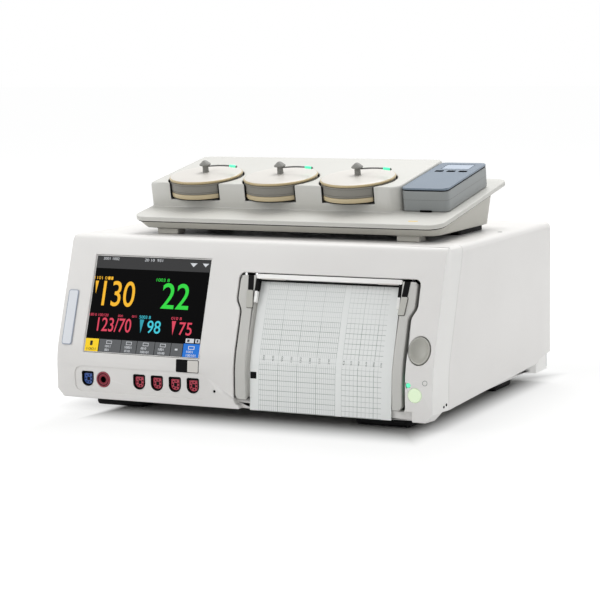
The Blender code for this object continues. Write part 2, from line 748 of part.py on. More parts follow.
def build_pan(metal, rubber):
    """The steel base tray with side and rear flanges, and four rubber feet under it."""
    y0 = FRONT + LIP_THICKNESS + SEAT
    flange_top = SIDE_HEIGHT - SEAT
    shape = boxes(((-PAN_HALF, y0, PAN_BOTTOM), (PAN_HALF, REAR_FACE, PAN_BOTTOM + PAN_FLANGE)))
    pan = add_object("base_pan", shape, metal)
    wall = PAN_THICKNESS
    inner_rear = REAR_FACE - REAR_PLATE - SEAT - wall
    room = boxes(((wall - PAN_HALF, y0 + wall, PAN_TOP),
                  (PAN_HALF - wall, inner_rear, BODY_HEIGHT)))
    front_drop = boxes(((-BODY_WIDTH, y0 - OVERRUN, flange_top),
                        (BODY_WIDTH, SEAM + SLIP, BODY_HEIGHT)))
    rear_drop = boxes(((-BODY_WIDTH, inner_rear + wall, PAN_TOP),
                       (BODY_WIDTH, REAR + OVERRUN, BODY_HEIGHT)))
    slots = bmesh.new()
    x, y = LEFT + SPEAKER_FROM_LEFT, FRONT + SPEAKER_FROM_FRONT
    for i in range(-2, 3):
        shift = i * SPEAKER_RADIUS / 3
        reach = SPEAKER_RADIUS / 2
        box(slots, (x + shift - SPEAKER_RADIUS / 12, y - reach, PAN_BOTTOM - OVERRUN),
            (x + shift + SPEAKER_RADIUS / 12, y + reach, PAN_TOP + OVERRUN))
    cut(pan, add_object("cut_pan_room", room), add_object("cut_pan_front", front_drop),
        add_object("cut_pan_rear", rear_drop), add_object("cut_speaker_slots", slots))
    posts = bmesh.new()
    for px, py in board_corners():
        post = turned([(0, PAN_TOP - wall / 2), (STANDOFF_RADIUS, PAN_TOP - wall / 2),
                       (STANDOFF_RADIUS, PAN_TOP + STANDOFF), (0, PAN_TOP + STANDOFF)], 12)
        merge(posts, turn_to(post, Matrix.Translation((px, py, 0))))
    unite(pan, add_object("add_board_posts", posts))

    for x_side, x_name in ((-1, "left"), (1, "right")):
        for y, y_name in ((FRONT + FOOT_FROM_FRONT, "front"), (REAR - FOOT_FROM_REAR, "rear")):
            x = x_side * (BODY_WIDTH / 2 - FOOT_FROM_SIDE)
            low = (x - FOOT_LENGTH / 2, y - FOOT_DEPTH / 2)
            high = (x + FOOT_LENGTH / 2, y + FOOT_DEPTH / 2)
            foot = prism(rounded(low, high, [FOOT_ROUND] * 4), 0, PAN_BOTTOM - SEAT, 'Z')
            add_object(f"foot_{y_name}_{x_name}", foot, rubber)
    return pan


def merge(target, source):
    """Copies one bmesh's bodies into another."""
    mesh = bpy.data.meshes.new("merged")
    source.to_mesh(mesh)
    source.free()
    target.from_mesh(mesh)
    bpy.data.meshes.remove(mesh)


def board_corners():
    x1 = RIGHT - BODY_WALL - MAIN_BOARD_FROM_RIGHT
    y1 = REAR - MAIN_BOARD_FROM_REAR
    inset = 2 * STANDOFF_RADIUS
    return [(x, y) for x in (x1 - inset, x1 - MAIN_BOARD_LENGTH + inset)
            for y in (y1 - inset, y1 - MAIN_BOARD_DEPTH + inset)]


def rear_screw(side, spare):
    """A screw driven into the rear plate from behind, or the hole for it."""
    shank, head = SCREW_RADIUS + spare, SCREW_HEAD_RADIUS + spare
    start = REAR_FACE - SCREW_LENGTH - spare
    seat, top = REAR_FACE + SEAT - spare, REAR_FACE + SEAT + SCREW_HEAD_HEIGHT + spare
    screw = turned([(0, start), (shank, start), (shank, seat), (head, seat), (head, top),
                    (0, top)], 12)
    place = Matrix.Translation((side * (BODY_WIDTH / 2 - SCREW_FROM_SIDE), 0, SCREW_LEVEL))
    return turn_to(screw, place @ Matrix.Rotation(-math.pi / 2, 4, 'X'))


def inlet_shape(spare):
    x = LEFT + INLET_FROM_LEFT
    wide, high = INLET_WIDTH / 2 + spare, INLET_HEIGHT / 2 + spare
    return ((x - wide, REAR_FACE - INLET_DEPTH, INLET_LEVEL - high),
            (x + wide, REAR_FACE + OVERRUN, INLET_LEVEL + high))


def jack_places():
    return [RIGHT - JACK_FROM_RIGHT - i * JACK_PITCH for i in range(JACK_COUNT)]


def jack_block(spare, proud):
    wide, high = JACK_WIDTH / 2 + spare, JACK_HEIGHT / 2 + spare
    places = jack_places()
    return ((places[-1] - wide, REAR_FACE - JACK_DEPTH, JACK_LEVEL - high),
            (places[0] + wide, REAR_FACE + proud, JACK_LEVEL + high))


def build_rear(metal, dark, steel):
    """The rear plate with its power inlet, earth stud, data sockets and screws."""
    shape = boxes(((-PAN_HALF, REAR_FACE - REAR_PLATE, PAN_TOP + SEAT),
                   (PAN_HALF, REAR_FACE, BODY_HEIGHT - BODY_WALL - SEAT)))
    plate = add_object("rear_panel", shape, metal)
    holes = boxes(inlet_shape(SEAT), jack_block(SEAT, OVERRUN))
    vents = bmesh.new()
    for i in range(9):
        x = LEFT + INLET_FROM_LEFT + i * INLET_WIDTH / 2
        box(vents, (x - INLET_FLANGE / 4, REAR_FACE - REAR_PLATE - OVERRUN, BODY_HEIGHT / 2),
            (x + INLET_FLANGE / 4, REAR_FACE + OVERRUN, BODY_HEIGHT * 3 / 4))
    cut(plate, add_object("cut_rear_holes", holes), add_object("cut_vents", vents))
    for side, name in ((-1, "left"), (1, "right")):
        hole = add_object(f"cut_screw_hole_{name}", rear_screw(side, SEAT))
        cut(plate, hole)
        cut(bpy.data.objects["base_pan"], hole)
        add_object(f"rear_screw_{name}", rear_screw(side, 0), steel)

    low, high = Vector(inlet_shape(0)[0]), Vector(inlet_shape(0)[1])
    back = REAR_FACE + SEAT + INLET_FLANGE_THICKNESS
    inlet = add_object("power_inlet", boxes((low, (high.x, back, high.z))), dark)
    flange = boxes(((low.x - INLET_FLANGE, REAR_FACE + SEAT, low.z - INLET_FLANGE / 2),
                    (high.x + INLET_FLANGE, back, high.z + INLET_FLANGE / 2)))
    wall = INLET_FLANGE / 3
    cavity = boxes(((low.x + wall, low.y + INLET_DEPTH / 3, low.z + wall),
                    (high.x - wall, back + OVERRUN, high.z - wall)))
    unite(inlet, add_object("add_inlet_flange", flange))
    cut(inlet, add_object("cut_inlet", cavity))

    mouths = bmesh.new()
    for x in jack_places():
        box(mouths, (x - JACK_WIDTH / 3, REAR_FACE - JACK_DEPTH * 2 / 3, JACK_LEVEL - JACK_HEIGHT / 3),
            (x + JACK_WIDTH / 3, REAR_FACE + OVERRUN, JACK_LEVEL + JACK_HEIGHT / 3))
    jacks = add_object("data_sockets", boxes(jack_block(0, SEAT)), dark)
    cut(jacks, add_object("cut_data_mouths", mouths))


def build_inside(board, metal, dark):
    """The boards, the power supply and the loudspeaker on the base tray."""
    x1 = RIGHT - BODY_WALL - MAIN_BOARD_FROM_RIGHT
    y1 = REAR - MAIN_BOARD_FROM_REAR
    x0, y0 = x1 - MAIN_BOARD_LENGTH, y1 - MAIN_BOARD_DEPTH
    low = PAN_TOP + STANDOFF + SEAT
    top = low + BOARD_THICKNESS
    main = add_object("main_board", boxes(((x0, y0, low), (x1, y1, top))), board)
    chips = bmesh.new()
    for along, deep, wide in ((0.2, 0.3, 0.06), (0.45, 0.6, 0.09), (0.75, 0.35, 0.05), (0.8, 0.75, 0.04)):
        x, y = x0 + along * MAIN_BOARD_LENGTH, y0 + deep * MAIN_BOARD_DEPTH
        reach = wide * MAIN_BOARD_LENGTH
        box(chips, (x - reach, y - reach, low + BOARD_THICKNESS / 2), (x + reach, y + reach, top + CHIP_HEIGHT))
    unite(main, add_object("add_chips", chips))

    x = LEFT + BODY_WALL + SUPPLY_FROM_LEFT
    y = REAR - SUPPLY_FROM_REAR
    shape = boxes(((x, y - SUPPLY_DEPTH, PAN_TOP + SEAT),
                   (x + SUPPLY_LENGTH, y, PAN_TOP + SEAT + SUPPLY_HEIGHT)))
    add_object("power_supply", shape, metal)

    rim = SPEAKER_HEIGHT / 6
    foot = PAN_TOP + SEAT
    speaker = turned([(0, foot + rim), (SPEAKER_RADIUS / 2, foot + rim),
                      (SPEAKER_RADIUS * 0.9, foot), (SPEAKER_RADIUS, foot),
                      (SPEAKER_RADIUS, foot + rim), (SPEAKER_RADIUS / 2, foot + SPEAKER_HEIGHT / 2),
                      (SPEAKER_RADIUS / 2, foot + SPEAKER_HEIGHT), (0, foot + SPEAKER_HEIGHT)], 24)
    add_object("loudspeaker", speaker, dark, None,
               (LEFT + SPEAKER_FROM_LEFT, FRONT + SPEAKER_FROM_FRONT, 0))

    y = FRONT + BAY_DEPTH - SOCKET_PROUD + SOCKET_LENGTH + SEAT
    x = LEFT + BAY_FROM_LEFT
    floor = SIDE_HEIGHT + BODY_WALL + SEAT
    shape = boxes(((x, y, floor), (x + SIGNAL_BOARD_LENGTH, y + BOARD_THICKNESS,
                                   floor + SIGNAL_BOARD_HEIGHT)))
    add_object("signal_board", shape, board)


def build_screen(face, glass, dark, metal):
    place = (LEFT + SCREEN_FROM_LEFT, SCREEN_UP, 0)
    half_x = SCREEN_WIDTH / 2 + GLASS_BORDER
    half_y = SCREEN_HEIGHT / 2 + GLASS_BORDER
    back = -SCREEN_RECESS - GLASS_THICKNESS
    add_object("touch_glass", boxes(((-half_x, -half_y, back), (half_x, half_y, -SCREEN_RECESS))),
               glass, face, place)
    front = back - SEAT
    shape = boxes(((-half_x - LCD_SIDE_BORDER, -half_y, front - LCD_THICKNESS),
                   (half_x + LCD_SIDE_BORDER, half_y + LCD_TOP_BORDER, front)))
    add_object("display_panel", shape, dark, face, place)

    outline = rounded((-PLATE_WIDTH / 2, -PLATE_LENGTH / 2), (PLATE_WIDTH / 2, PLATE_LENGTH / 2),
                      [PLATE_WIDTH / 5] * 4)
    add_object("name_plate", prism(outline, SEAT, SEAT + PLATE_THICKNESS, 'Z'), metal, face,
               (LEFT + PLATE_FROM_LEFT, PLATE_UP, 0))


def build_sockets(blue, red, maroon):
    front = FRONT + BAY_DEPTH - SOCKET_PROUD
    rim = 2 * SOCKET_RIM
    for name, places, look in (("blue_socket", [LEFT + BLUE_FROM_LEFT], blue),
                               ("fetal_sockets", fetal_places(), red)):
        bodies, mouths = bmesh.new(), bmesh.new()
        for x in places:
            outline = shifted(d_outline(SOCKET_WIDTH, SOCKET_HEIGHT), x, SOCKET_LEVEL)
            prism(outline, front, front + SOCKET_LENGTH, 'Y', bodies)
            inner = shifted(d_outline(SOCKET_WIDTH - rim, SOCKET_HEIGHT - rim), x, SOCKET_LEVEL)
            prism(inner, front - OVERRUN, front + SOCKET_CAVITY, 'Y', mouths)
        socket = add_object(name, bodies, look)
        if len(places) > 1:
            half = SOCKET_WIDTH / 3
            back = front + SOCKET_LENGTH
            bar = boxes(((places[0] - half, back - SOCKET_BAR, SOCKET_LEVEL - half),
                         (places[-1] + half, back, SOCKET_LEVEL + half)))
            unite(socket, add_object("add_socket_bar", bar))
        cut(socket, add_object("cut_" + name, mouths))
    radius = ROUND_SOCKET / 2
    bore = ROUND_SOCKET_BORE / 2
    ring = turned([(0, -SOCKET_LENGTH), (radius, -SOCKET_LENGTH), (radius, -SOCKET_RIM / 2),
                   (radius - SOCKET_RIM / 2, 0), (bore, 0), (bore, -SOCKET_CAVITY),
                   (0, -SOCKET_CAVITY)], 28)
    turn_to(ring, Matrix.Translation((LEFT + ROUND_FROM_LEFT, front, SOCKET_LEVEL)) @
            Matrix.Rotation(math.pi / 2, 4, 'X'))
    add_object("round_socket", ring, maroon)


def build_controls(face, grey, pale, green):
    """The oval eject button, the round power button and the status lamp."""
    flange = 2 * (BUTTON_GAP + BUTTON_FLANGE)
    deep = -BODY_WALL - SEAT - FACE_BEND * (1 - math.cos(FACE_TILT / 3))
    shape = prism(ellipse(EJECT_WIDTH, EJECT_HEIGHT), deep - FLANGE_THICKNESS / 2, EJECT_PROUD, 'Z')
    place = (RIGHT - EJECT_FROM_RIGHT, EJECT_UP, 0)
    eject = add_object("eject_button", shape, grey, face, place)
    rim = prism(ellipse(EJECT_WIDTH + flange, EJECT_HEIGHT + flange), deep - FLANGE_THICKNESS,
                deep, 'Z')
    stem = prism(ellipse(2 * EJECT_STEM_RADIUS, 2 * EJECT_STEM_RADIUS, 16),
                 deep - FLANGE_THICKNESS - BUTTON_STEM, deep - FLANGE_THICKNESS / 2, 'Z')
    unite(eject, add_object("add_eject_flange", rim, None, face, place),
          add_object("add_eject_stem", stem, None, face, place))

    radius = POWER_DIAMETER / 2
    wide = radius + BUTTON_GAP + BUTTON_FLANGE
    shut = -BODY_WALL - SEAT
    shape = turned([(0, shut - FLANGE_THICKNESS - BUTTON_STEM),
                    (POWER_STEM_RADIUS, shut - FLANGE_THICKNESS - BUTTON_STEM),
                    (POWER_STEM_RADIUS, shut - FLANGE_THICKNESS), (wide, shut - FLANGE_THICKNESS),
                    (wide, shut), (radius, shut), (radius, 0), (radius * 0.9, POWER_PROUD),
                    (0, POWER_PROUD)], 28)
    power = add_object("power_button", shape, pale, None,
                       (RIGHT - POWER_FROM_RIGHT, FRONT, POWER_LEVEL))
    power.rotation_euler = (math.pi / 2, 0, 0)

    radius = LED_DIAMETER / 2
    lamp = turned([(0, -LED_LENGTH), (radius, -LED_LENGTH), (radius, 0),
                   (radius * 0.7, LED_PROUD), (0, LED_PROUD)], 16)
    turn_to(lamp, Matrix.Translation((RIGHT - LED_FROM_RIGHT, FRONT, LED_LEVEL)) @
            Matrix.Rotation(math.pi / 2, 4, 'X'))
    add_object("status_lamp", lamp, green)


def build_door(grey, white, steel):
    """The recorder door: two arms and the paper table, hung on lugs at its foot."""
    hinge = make_frame("door_hinge", Matrix.Translation((DOOR_X, HINGE_Y, HINGE_HEIGHT)))
    origin = Matrix.Translation((-DOOR_X, -HINGE_Y, -HINGE_HEIGHT))
    reach = ARM_REACH + ARM_BULGE + OVERRUN
    slab = prism(band_outline(0, ARM_THICKNESS, ARM_FOOT, ARM_UP), DOOR_X - reach, DOOR_X + reach)
    door = add_object("door_frame", turn_to(slab, origin), grey, hinge)
    face_here = make_frame("door_face", face_frame() @ Matrix.Translation((DOOR_X, 0, 0)))
    outline = add_object("keep_door_outline", prism(door_outline(0), -BEZEL_DEPTH * 2, BEZEL_DEPTH, 'Z'),
                         None, face_here)
    combine(door, outline, 'INTERSECT')
    foot = prism(door_foot_outline(0, 0, ARM_FOOT_ROUND), FRONT - OVERRUN, REAR, 'Y')
    combine(door, add_object("keep_door_foot", turn_to(foot, origin), None, hinge), 'INTERSECT')
    between = boxes(((DOOR_X - ARM_INNER, FRONT - OVERRUN, 0), (DOOR_X + ARM_INNER, REAR, BODY_HEIGHT)))
    relief = prism(shifted(ellipse(2 * HINGE_RELIEF, 2 * HINGE_RELIEF, 24), HINGE_Y, HINGE_HEIGHT),
                   DOOR_X - reach, DOOR_X + reach)
    outline = table_line(0, ARM_FOOT, TABLE_UP)
    outline += table_line(TABLE_THICKNESS, ARM_FOOT, TABLE_UP)[::-1]
    table = prism(outline, DOOR_X - ARM_INNER - ARM_WIDTH / 2, DOOR_X + ARM_INNER + ARM_WIDTH / 2)
    lugs = bmesh.new()
    neck_top = ARM_FOOT + HINGE_RELIEF
    for x in lug_places():
        low, high = x - LUG_WIDTH / 2, x + LUG_WIDTH / 2
        lug = arc((HINGE_Y, HINGE_HEIGHT), LUG_RADIUS, math.pi, math.tau, 2 * ARC_STEPS)
        front_y = FRONT + TABLE_SETBACK + TABLE_THICKNESS / 2
        rear_y = FRONT + ARM_THICKNESS
        lug += [(HINGE_Y + LUG_RADIUS, HINGE_HEIGHT + LUG_RADIUS / 2),
                (rear_y, TRAY_FLOOR - LUG_RADIUS / 4), (rear_y, neck_top), (front_y, neck_top),
                (front_y, neck_top - LUG_NECK)]
        prism(lug, low, high, 'X', lugs)
    cut(door, add_object("cut_between_arms", turn_to(between, origin), None, hinge))
    unite(door, add_object("add_table", turn_to(table, origin), None, hinge))
    cut(door, add_object("cut_hinge_relief", turn_to(relief, origin), None, hinge))
    unite(door, add_object("add_lugs", turn_to(lugs, origin), None, hinge))
    y, z = slope_point(GUIDE_PIVOT_UP, GUIDE_PIVOT_SETBACK)
    size = 2 * (GUIDE_STUB_RADIUS + SEAT)
    reach = ARM_INNER + GUIDE_STUB_LENGTH + SEAT
    bores = prism(shifted(ellipse(size, size, 12), y, z), DOOR_X - reach, DOOR_X + reach)
    cut(door, add_object("cut_lug_bores", turn_to(rod_shape(SEAT), origin), None, hinge),
        add_object("cut_guide_bores", turn_to(bores, origin), None, hinge))
    add_object("door_hinge_rod", rod_shape(0), steel)

    front_y = FRONT + ARM_THICKNESS + SEAT
    floor = TRAY_FLOOR
    rear_y = front_y + 2 * TRAY_WALL + PACK_LENGTH + 2 * TRAY_SLACK + TRAY_LEAN
    lean = front_y + TRAY_LEAN
    side = [(front_y, floor), (front_y, floor + TRAY_SHOULDER), (lean, floor + TRAY_HEIGHT),
            (rear_y, floor + TRAY_HEIGHT), (rear_y, floor)]
    tray = add_object("paper_tray", turn_to(prism(side, DOOR_X - TRAY_HALF, DOOR_X + TRAY_HALF), origin),
                      white, hinge)
    pack_y = lean + TRAY_WALL
    inner = PAPER_WIDTH / 2 + TRAY_SLACK
    room = boxes(((DOOR_X - inner, pack_y, floor + TRAY_WALL),
                  (DOOR_X + inner, rear_y - TRAY_WALL, BODY_HEIGHT)))
    bulge = prism(shifted(ellipse(2 * HINGE_RELIEF, 2 * HINGE_RELIEF, 24), HINGE_Y, HINGE_HEIGHT),
                  DOOR_X - reach, DOOR_X + reach)
    cut(tray, add_object("cut_tray_room", turn_to(room, origin), None, hinge),
        add_object("cut_tray_relief", turn_to(bulge, origin), None, hinge))
    bottom = floor + TRAY_WALL + SEAT
    pack = boxes(((DOOR_X - PAPER_WIDTH / 2, pack_y + TRAY_SLACK, bottom),
                  (DOOR_X + PAPER_WIDTH / 2, pack_y + TRAY_SLACK + PACK_LENGTH, bottom + PACK_HEIGHT)))
    add_object("paper_pack", turn_to(pack, origin), white, hinge)
    return hinge, origin


def table_line(behind, foot, top_up):
    """The paper table's front in side view, leaning back above the bend, or a line behind it."""
    depth = TABLE_SETBACK + behind
    lean = (PAPER_TOP_SETBACK - TABLE_SETBACK) / (PAPER_TOP_UP - PAPER_BEND_UP)
    line = face_line(depth, foot, slope_point(PAPER_BEND_UP, depth)[1])
    return line + [slope_point(top_up, depth + lean * (top_up - PAPER_BEND_UP))]


def paper_line(behind):
    """The sheet in side view: over the top of the table, down it, and past the lip."""
    line = table_line(behind, PAPER_FOOT, PAPER_TOP_UP)
    line[0] = (line[0][0] - PAPER_FLARE, PAPER_FOOT)
    return line


def build_paper(hinge, origin, paper):
    back = paper_line(-SEAT)
    front = paper_line(-SEAT - PAPER_THICKNESS)
    shape = prism(front + back[::-1], DOOR_X - PAPER_WIDTH / 2, DOOR_X + PAPER_WIDTH / 2)
    add_object("paper_sheet", turn_to(shape, origin), paper, hinge)


def build_guide(hinge, clear):
    """The clear bar that presses the sheet to the table, on two legs with a pivot each."""
    y, z = slope_point(GUIDE_PIVOT_UP, GUIDE_PIVOT_SETBACK)
    pivot = make_frame("guide_pivot", Matrix.Translation((DOOR_X, y, z)) @
                       Matrix.Rotation(math.pi / 2 - FACE_TILT, 4, 'X'))
    pivot.parent = hinge
    pivot.matrix_parent_inverse = Matrix.Translation((DOOR_X, HINGE_Y, HINGE_HEIGHT)).inverted()
    half = ARM_INNER - SEAT
    rise = GUIDE_TOP_UP - GUIDE_PIVOT_UP
    low = GUIDE_PIVOT_SETBACK + GUIDE_PROUD - GUIDE_THICKNESS
    high = low + GUIDE_THICKNESS
    guide = add_object("paper_guide", boxes(((-half, rise - GUIDE_HEIGHT, low), (half, rise, high))),
                       clear, pivot)
    legs = boxes(*[((min(side * half, side * (half - GUIDE_LEG)), rise - GUIDE_LEG_LENGTH, low),
                    (max(side * half, side * (half - GUIDE_LEG)), rise - GUIDE_HEIGHT / 2, high))
                   for side in (-1, 1)])
    size = 2 * GUIDE_STUB_RADIUS
    stubs = bmesh.new()
    for low_x, high_x in ((-half - GUIDE_STUB_LENGTH, GUIDE_LEG / 2 - half),
                          (half - GUIDE_LEG / 2, half + GUIDE_STUB_LENGTH)):
        prism(ellipse(size, size, 12), low_x, high_x, 'X', stubs)
    unite(guide, add_object("add_guide_legs", legs, None, pivot),
          add_object("add_guide_stubs", stubs, None, pivot))


def gear_outline(teeth, phase):
    """A spur gear's outline, with slightly thin teeth that leave backlash."""
    pitch = GEAR_MODULE * teeth / 2
    root, tip = pitch - 1.2 * GEAR_MODULE, pitch + 0.8 * GEAR_MODULE
    step = math.tau / teeth
    points = []
    for i in range(teeth):
        middle = phase + i * step
        for radius, share in ((root, -0.32), (tip, -0.12), (tip, 0.12), (root, 0.32)):
            angle = middle + share * step
            points.append((radius * math.cos(angle), radius * math.sin(angle)))
    return points


def build_recorder(metal, rubber, brass, dark, steel):
    """Cheeks and a bridge that carry the platen roller, its gears, the head and the motor."""
    roller_y, roller_z = slope_point(ROLLER_UP, ROLLER_SETBACK)
    outer = ARM_REACH - CHEEK_INSET
    inner = outer - CHEEK_THICKNESS
    front_low = (FRONT + CHEEK_SETBACK * 2, PAN_TOP + SEAT)
    knee = slope_point(0, CHEEK_SETBACK)
    top = face_line(CHEEK_SETBACK, CHEEK_TOP - SLIP, CHEEK_TOP)[-1]
    rear = top[0] + CHEEK_DEPTH
    side = [front_low, (front_low[0], knee[1] / 2), knee, top, (rear, CHEEK_TOP), (rear, PAN_TOP + SEAT)]
    frame = add_object("recorder_frame", prism(side, DOOR_X - outer, DOOR_X + outer), metal)
    room = boxes(((DOOR_X - inner, FRONT, 0), (DOOR_X + inner, REAR, CHEEK_TOP - BRIDGE_THICKNESS)))
    opening = boxes(((DOOR_X - outer - OVERRUN, front_low[0] + HEAD_DEPTH, PAN_TOP + TRAY_HEIGHT),
                     (DOOR_X + outer + OVERRUN, rear - HEAD_DEPTH / 2, knee[1])))
    shaft_holes = prism(shifted(ellipse(2 * SHAFT_RADIUS + 2 * SEAT, 2 * SHAFT_RADIUS + 2 * SEAT, 16),
                                roller_y, roller_z), DOOR_X - outer - OVERRUN, DOOR_X + outer + OVERRUN)
    pinion_y = roller_y + GEAR_DISTANCE
    motor_hole = 2 * MOTOR_SHAFT_RADIUS + 2 * SLIP
    prism(shifted(ellipse(motor_hole, motor_hole, 12), pinion_y, roller_z), DOOR_X,
          DOOR_X + outer + OVERRUN, 'X', shaft_holes)
    cut(frame, add_object("cut_frame_room", room), add_object("cut_cheek_windows", opening),
        add_object("cut_shaft_holes", shaft_holes))

    axle = make_frame("roller_axle", Matrix.Translation((DOOR_X, roller_y, roller_z)))
    half = ROLLER_LENGTH / 2
    long = outer
    roller = turned([(0, -long), (SHAFT_RADIUS, -long), (SHAFT_RADIUS, -half), (ROLLER_RADIUS, -half),
                     (ROLLER_RADIUS, half), (SHAFT_RADIUS, half), (SHAFT_RADIUS, long), (0, long)], 24)
    along_x = Matrix.Rotation(math.pi / 2, 4, 'Y')
    add_object("platen_roller", turn_to(roller, along_x), rubber, axle)
    gear_end = inner - SLIP
    gear = prism(gear_outline(ROLLER_TEETH, 0), gear_end - GEAR_FACE, gear_end)
    gear = add_object("roller_gear", gear, brass, axle)
    bore = prism(ellipse(2 * SHAFT_RADIUS + 2 * SEAT, 2 * SHAFT_RADIUS + 2 * SEAT, 16),
                 gear_end - GEAR_FACE - OVERRUN, gear_end + OVERRUN)
    cut(gear, add_object("cut_gear_bore", bore, None, axle))

    motor_axle = make_frame("motor_axle", Matrix.Translation((DOOR_X, pinion_y, roller_z)))
    pinion = prism(gear_outline(PINION_TEETH, math.pi + math.pi / PINION_TEETH), gear_end - GEAR_FACE, gear_end)
    pinion = add_object("motor_pinion", pinion, steel, motor_axle)
    shaft = prism(ellipse(2 * MOTOR_SHAFT_RADIUS, 2 * MOTOR_SHAFT_RADIUS, 12),
                  gear_end - GEAR_FACE / 2, outer + SEAT + MOTOR_LENGTH / 4)
    unite(pinion, add_object("add_motor_shaft", shaft, None, motor_axle))
    motor = prism(ellipse(MOTOR_DIAMETER, MOTOR_DIAMETER, 24), outer + SEAT, outer + SEAT + MOTOR_LENGTH)
    motor = add_object("paper_motor", motor, dark, motor_axle)
    socket = prism(ellipse(motor_hole, motor_hole, 12), outer - OVERRUN,
                   outer + SEAT + MOTOR_LENGTH / 4 + SLIP)
    cut(motor, add_object("cut_motor_bore", socket, None, motor_axle))

    head_low = roller_z + ROLLER_RADIUS + HEAD_CLEARANCE
    head_high = CHEEK_TOP - BRIDGE_THICKNESS - SEAT
    head_y = face_line(HEAD_FRONT_SETBACK, head_low, head_high)[-1][0]
    head = boxes(((DOOR_X - half, head_y, head_low), (DOOR_X + half, head_y + HEAD_DEPTH, head_high)))
    add_object("print_head", head, dark)


def build_dock(pale, board, frame):
    """The docking tray: a sloping top plate with a pocketed block, on a flared base."""
    left, right = DOCK_LEFT, DOCK_RIGHT
    radii = [TRAY_PLATE_ROUND, TRAY_PLATE_ROUND, TRAY_REAR_ROUND, TRAY_REAR_ROUND]
    outline = rounded((left, 0), (right, TRAY_PLATE_DEPTH), radii, 5)
    top = add_object("dock_top", prism(outline, -TRAY_PLATE_THICKNESS, 0, 'Z'), pale, frame)
    block_low = (left + BLOCK_LEFT, BLOCK_FRONT)
    block_high = (left + BLOCK_LEFT + BLOCK_WIDTH, BLOCK_FRONT + BLOCK_DEPTH)
    block = prism(rounded(block_low, block_high, [BLOCK_ROUND / 3, BLOCK_ROUND, BLOCK_ROUND / 3, BLOCK_ROUND / 3]),
                  -TRAY_PLATE_THICKNESS / 2, BLOCK_HEIGHT, 'Z')
    wall = DOCK_WALL
    room = prism(rounded((block_low[0] + wall, block_low[1] + wall), (block_high[0] - wall, block_high[1] - wall),
                         [BLOCK_ROUND] * 4), -TRAY_PLATE_THICKNESS - OVERRUN, BLOCK_HEIGHT - wall, 'Z')
    room = add_object("cut_block_room", room, None, frame)
    cups, pockets = bmesh.new(), bmesh.new()
    radius = TRANSDUCER_RADIUS + POCKET_GAP
    for x in transducer_places():
        for shape, size, low in ((cups, radius + wall, TRANSDUCER_FLOOR - wall),
                                 (pockets, radius, TRANSDUCER_FLOOR)):
            prism(shifted(ellipse(2 * size, 2 * size), x, TRANSDUCER_BACK), low,
                  BLOCK_HEIGHT + OVERRUN, 'Z', shape)
    cut(room, add_object("keep_cups", cups, None, frame))
    unite(top, add_object("add_block", block, None, frame))
    cut(top, room, add_object("cut_pockets", pockets, None, frame))

    bottom = BODY_HEIGHT + SEAT + DOCK_FOOT_HEIGHT
    front_y = FRONT + DOCK_FRONT
    inset = DOCK_RIM_INSET

    def ring(inward, raise_top):
        low, high = (left + inset + inward, inset + inward), (right - inset - inward, inset + DOCK_BASE_DEPTH - inward)
        corner = TRAY_PLATE_ROUND - inset - inward
        upper = rounded(low, high, [corner, corner, DOCK_BASE_ROUND, DOCK_BASE_ROUND])
        upper = [dock_to_world((x, u, -TRAY_PLATE_THICKNESS - SEAT + raise_top)) for x, u in upper]
        low = (left + DOCK_BASE_FLARE + inward, front_y + DOCK_BASE_FRONT_FLARE + inset + inward)
        high = (right - DOCK_BASE_RIGHT_FLARE - inward, front_y + DOCK_BASE_DEPTH + DOCK_BASE_REAR_LEAN - inward)
        lower = rounded(low, high, [DOCK_BASE_ROUND] * 4)
        return lower, upper

    lower, upper = ring(0, 0)
    shape = loft([[(x, y, bottom) for x, y in lower], upper])
    base = add_object("dock_base", shape, pale)
    lower, upper = ring(wall, OVERRUN / 4)
    cut(base, add_object("cut_dock_room", loft([[(x, y, bottom + wall) for x, y in lower], upper])))

    feet = bmesh.new()
    for x in (left + DOCK_BASE_FLARE + DOCK_FOOT_INSET, right - DOCK_BASE_FLARE - DOCK_FOOT_INSET):
        for y in (front_y + DOCK_FOOT_INSET * 2 / 3, front_y + DOCK_BASE_DEPTH - DOCK_FOOT_INSET):
            box(feet, (x - DOCK_FOOT_LENGTH / 2, y - DOCK_FOOT_DEPTH / 2, BODY_HEIGHT + SEAT),
                (x + DOCK_FOOT_LENGTH / 2, y + DOCK_FOOT_DEPTH / 2, bottom + wall / 2))
    unite(base, add_object("add_dock_feet", feet))
    floor = bottom + wall + SEAT
    middle_y = front_y + DOCK_BASE_DEPTH / 2
    shape = boxes(((DOCK_SHIFT - DOCK_BOARD_LENGTH / 2, middle_y - DOCK_BOARD_DEPTH / 2, floor),
                   (DOCK_SHIFT + DOCK_BOARD_LENGTH / 2, middle_y + DOCK_BOARD_DEPTH / 2,
                    floor + BOARD_THICKNESS)))
    add_object("dock_board", shape, board)


def transducer_places():
    return [DOCK_LEFT + TRANSDUCER_FROM_LEFT + i * TRANSDUCER_PITCH for i in range(TRANSDUCERS)]


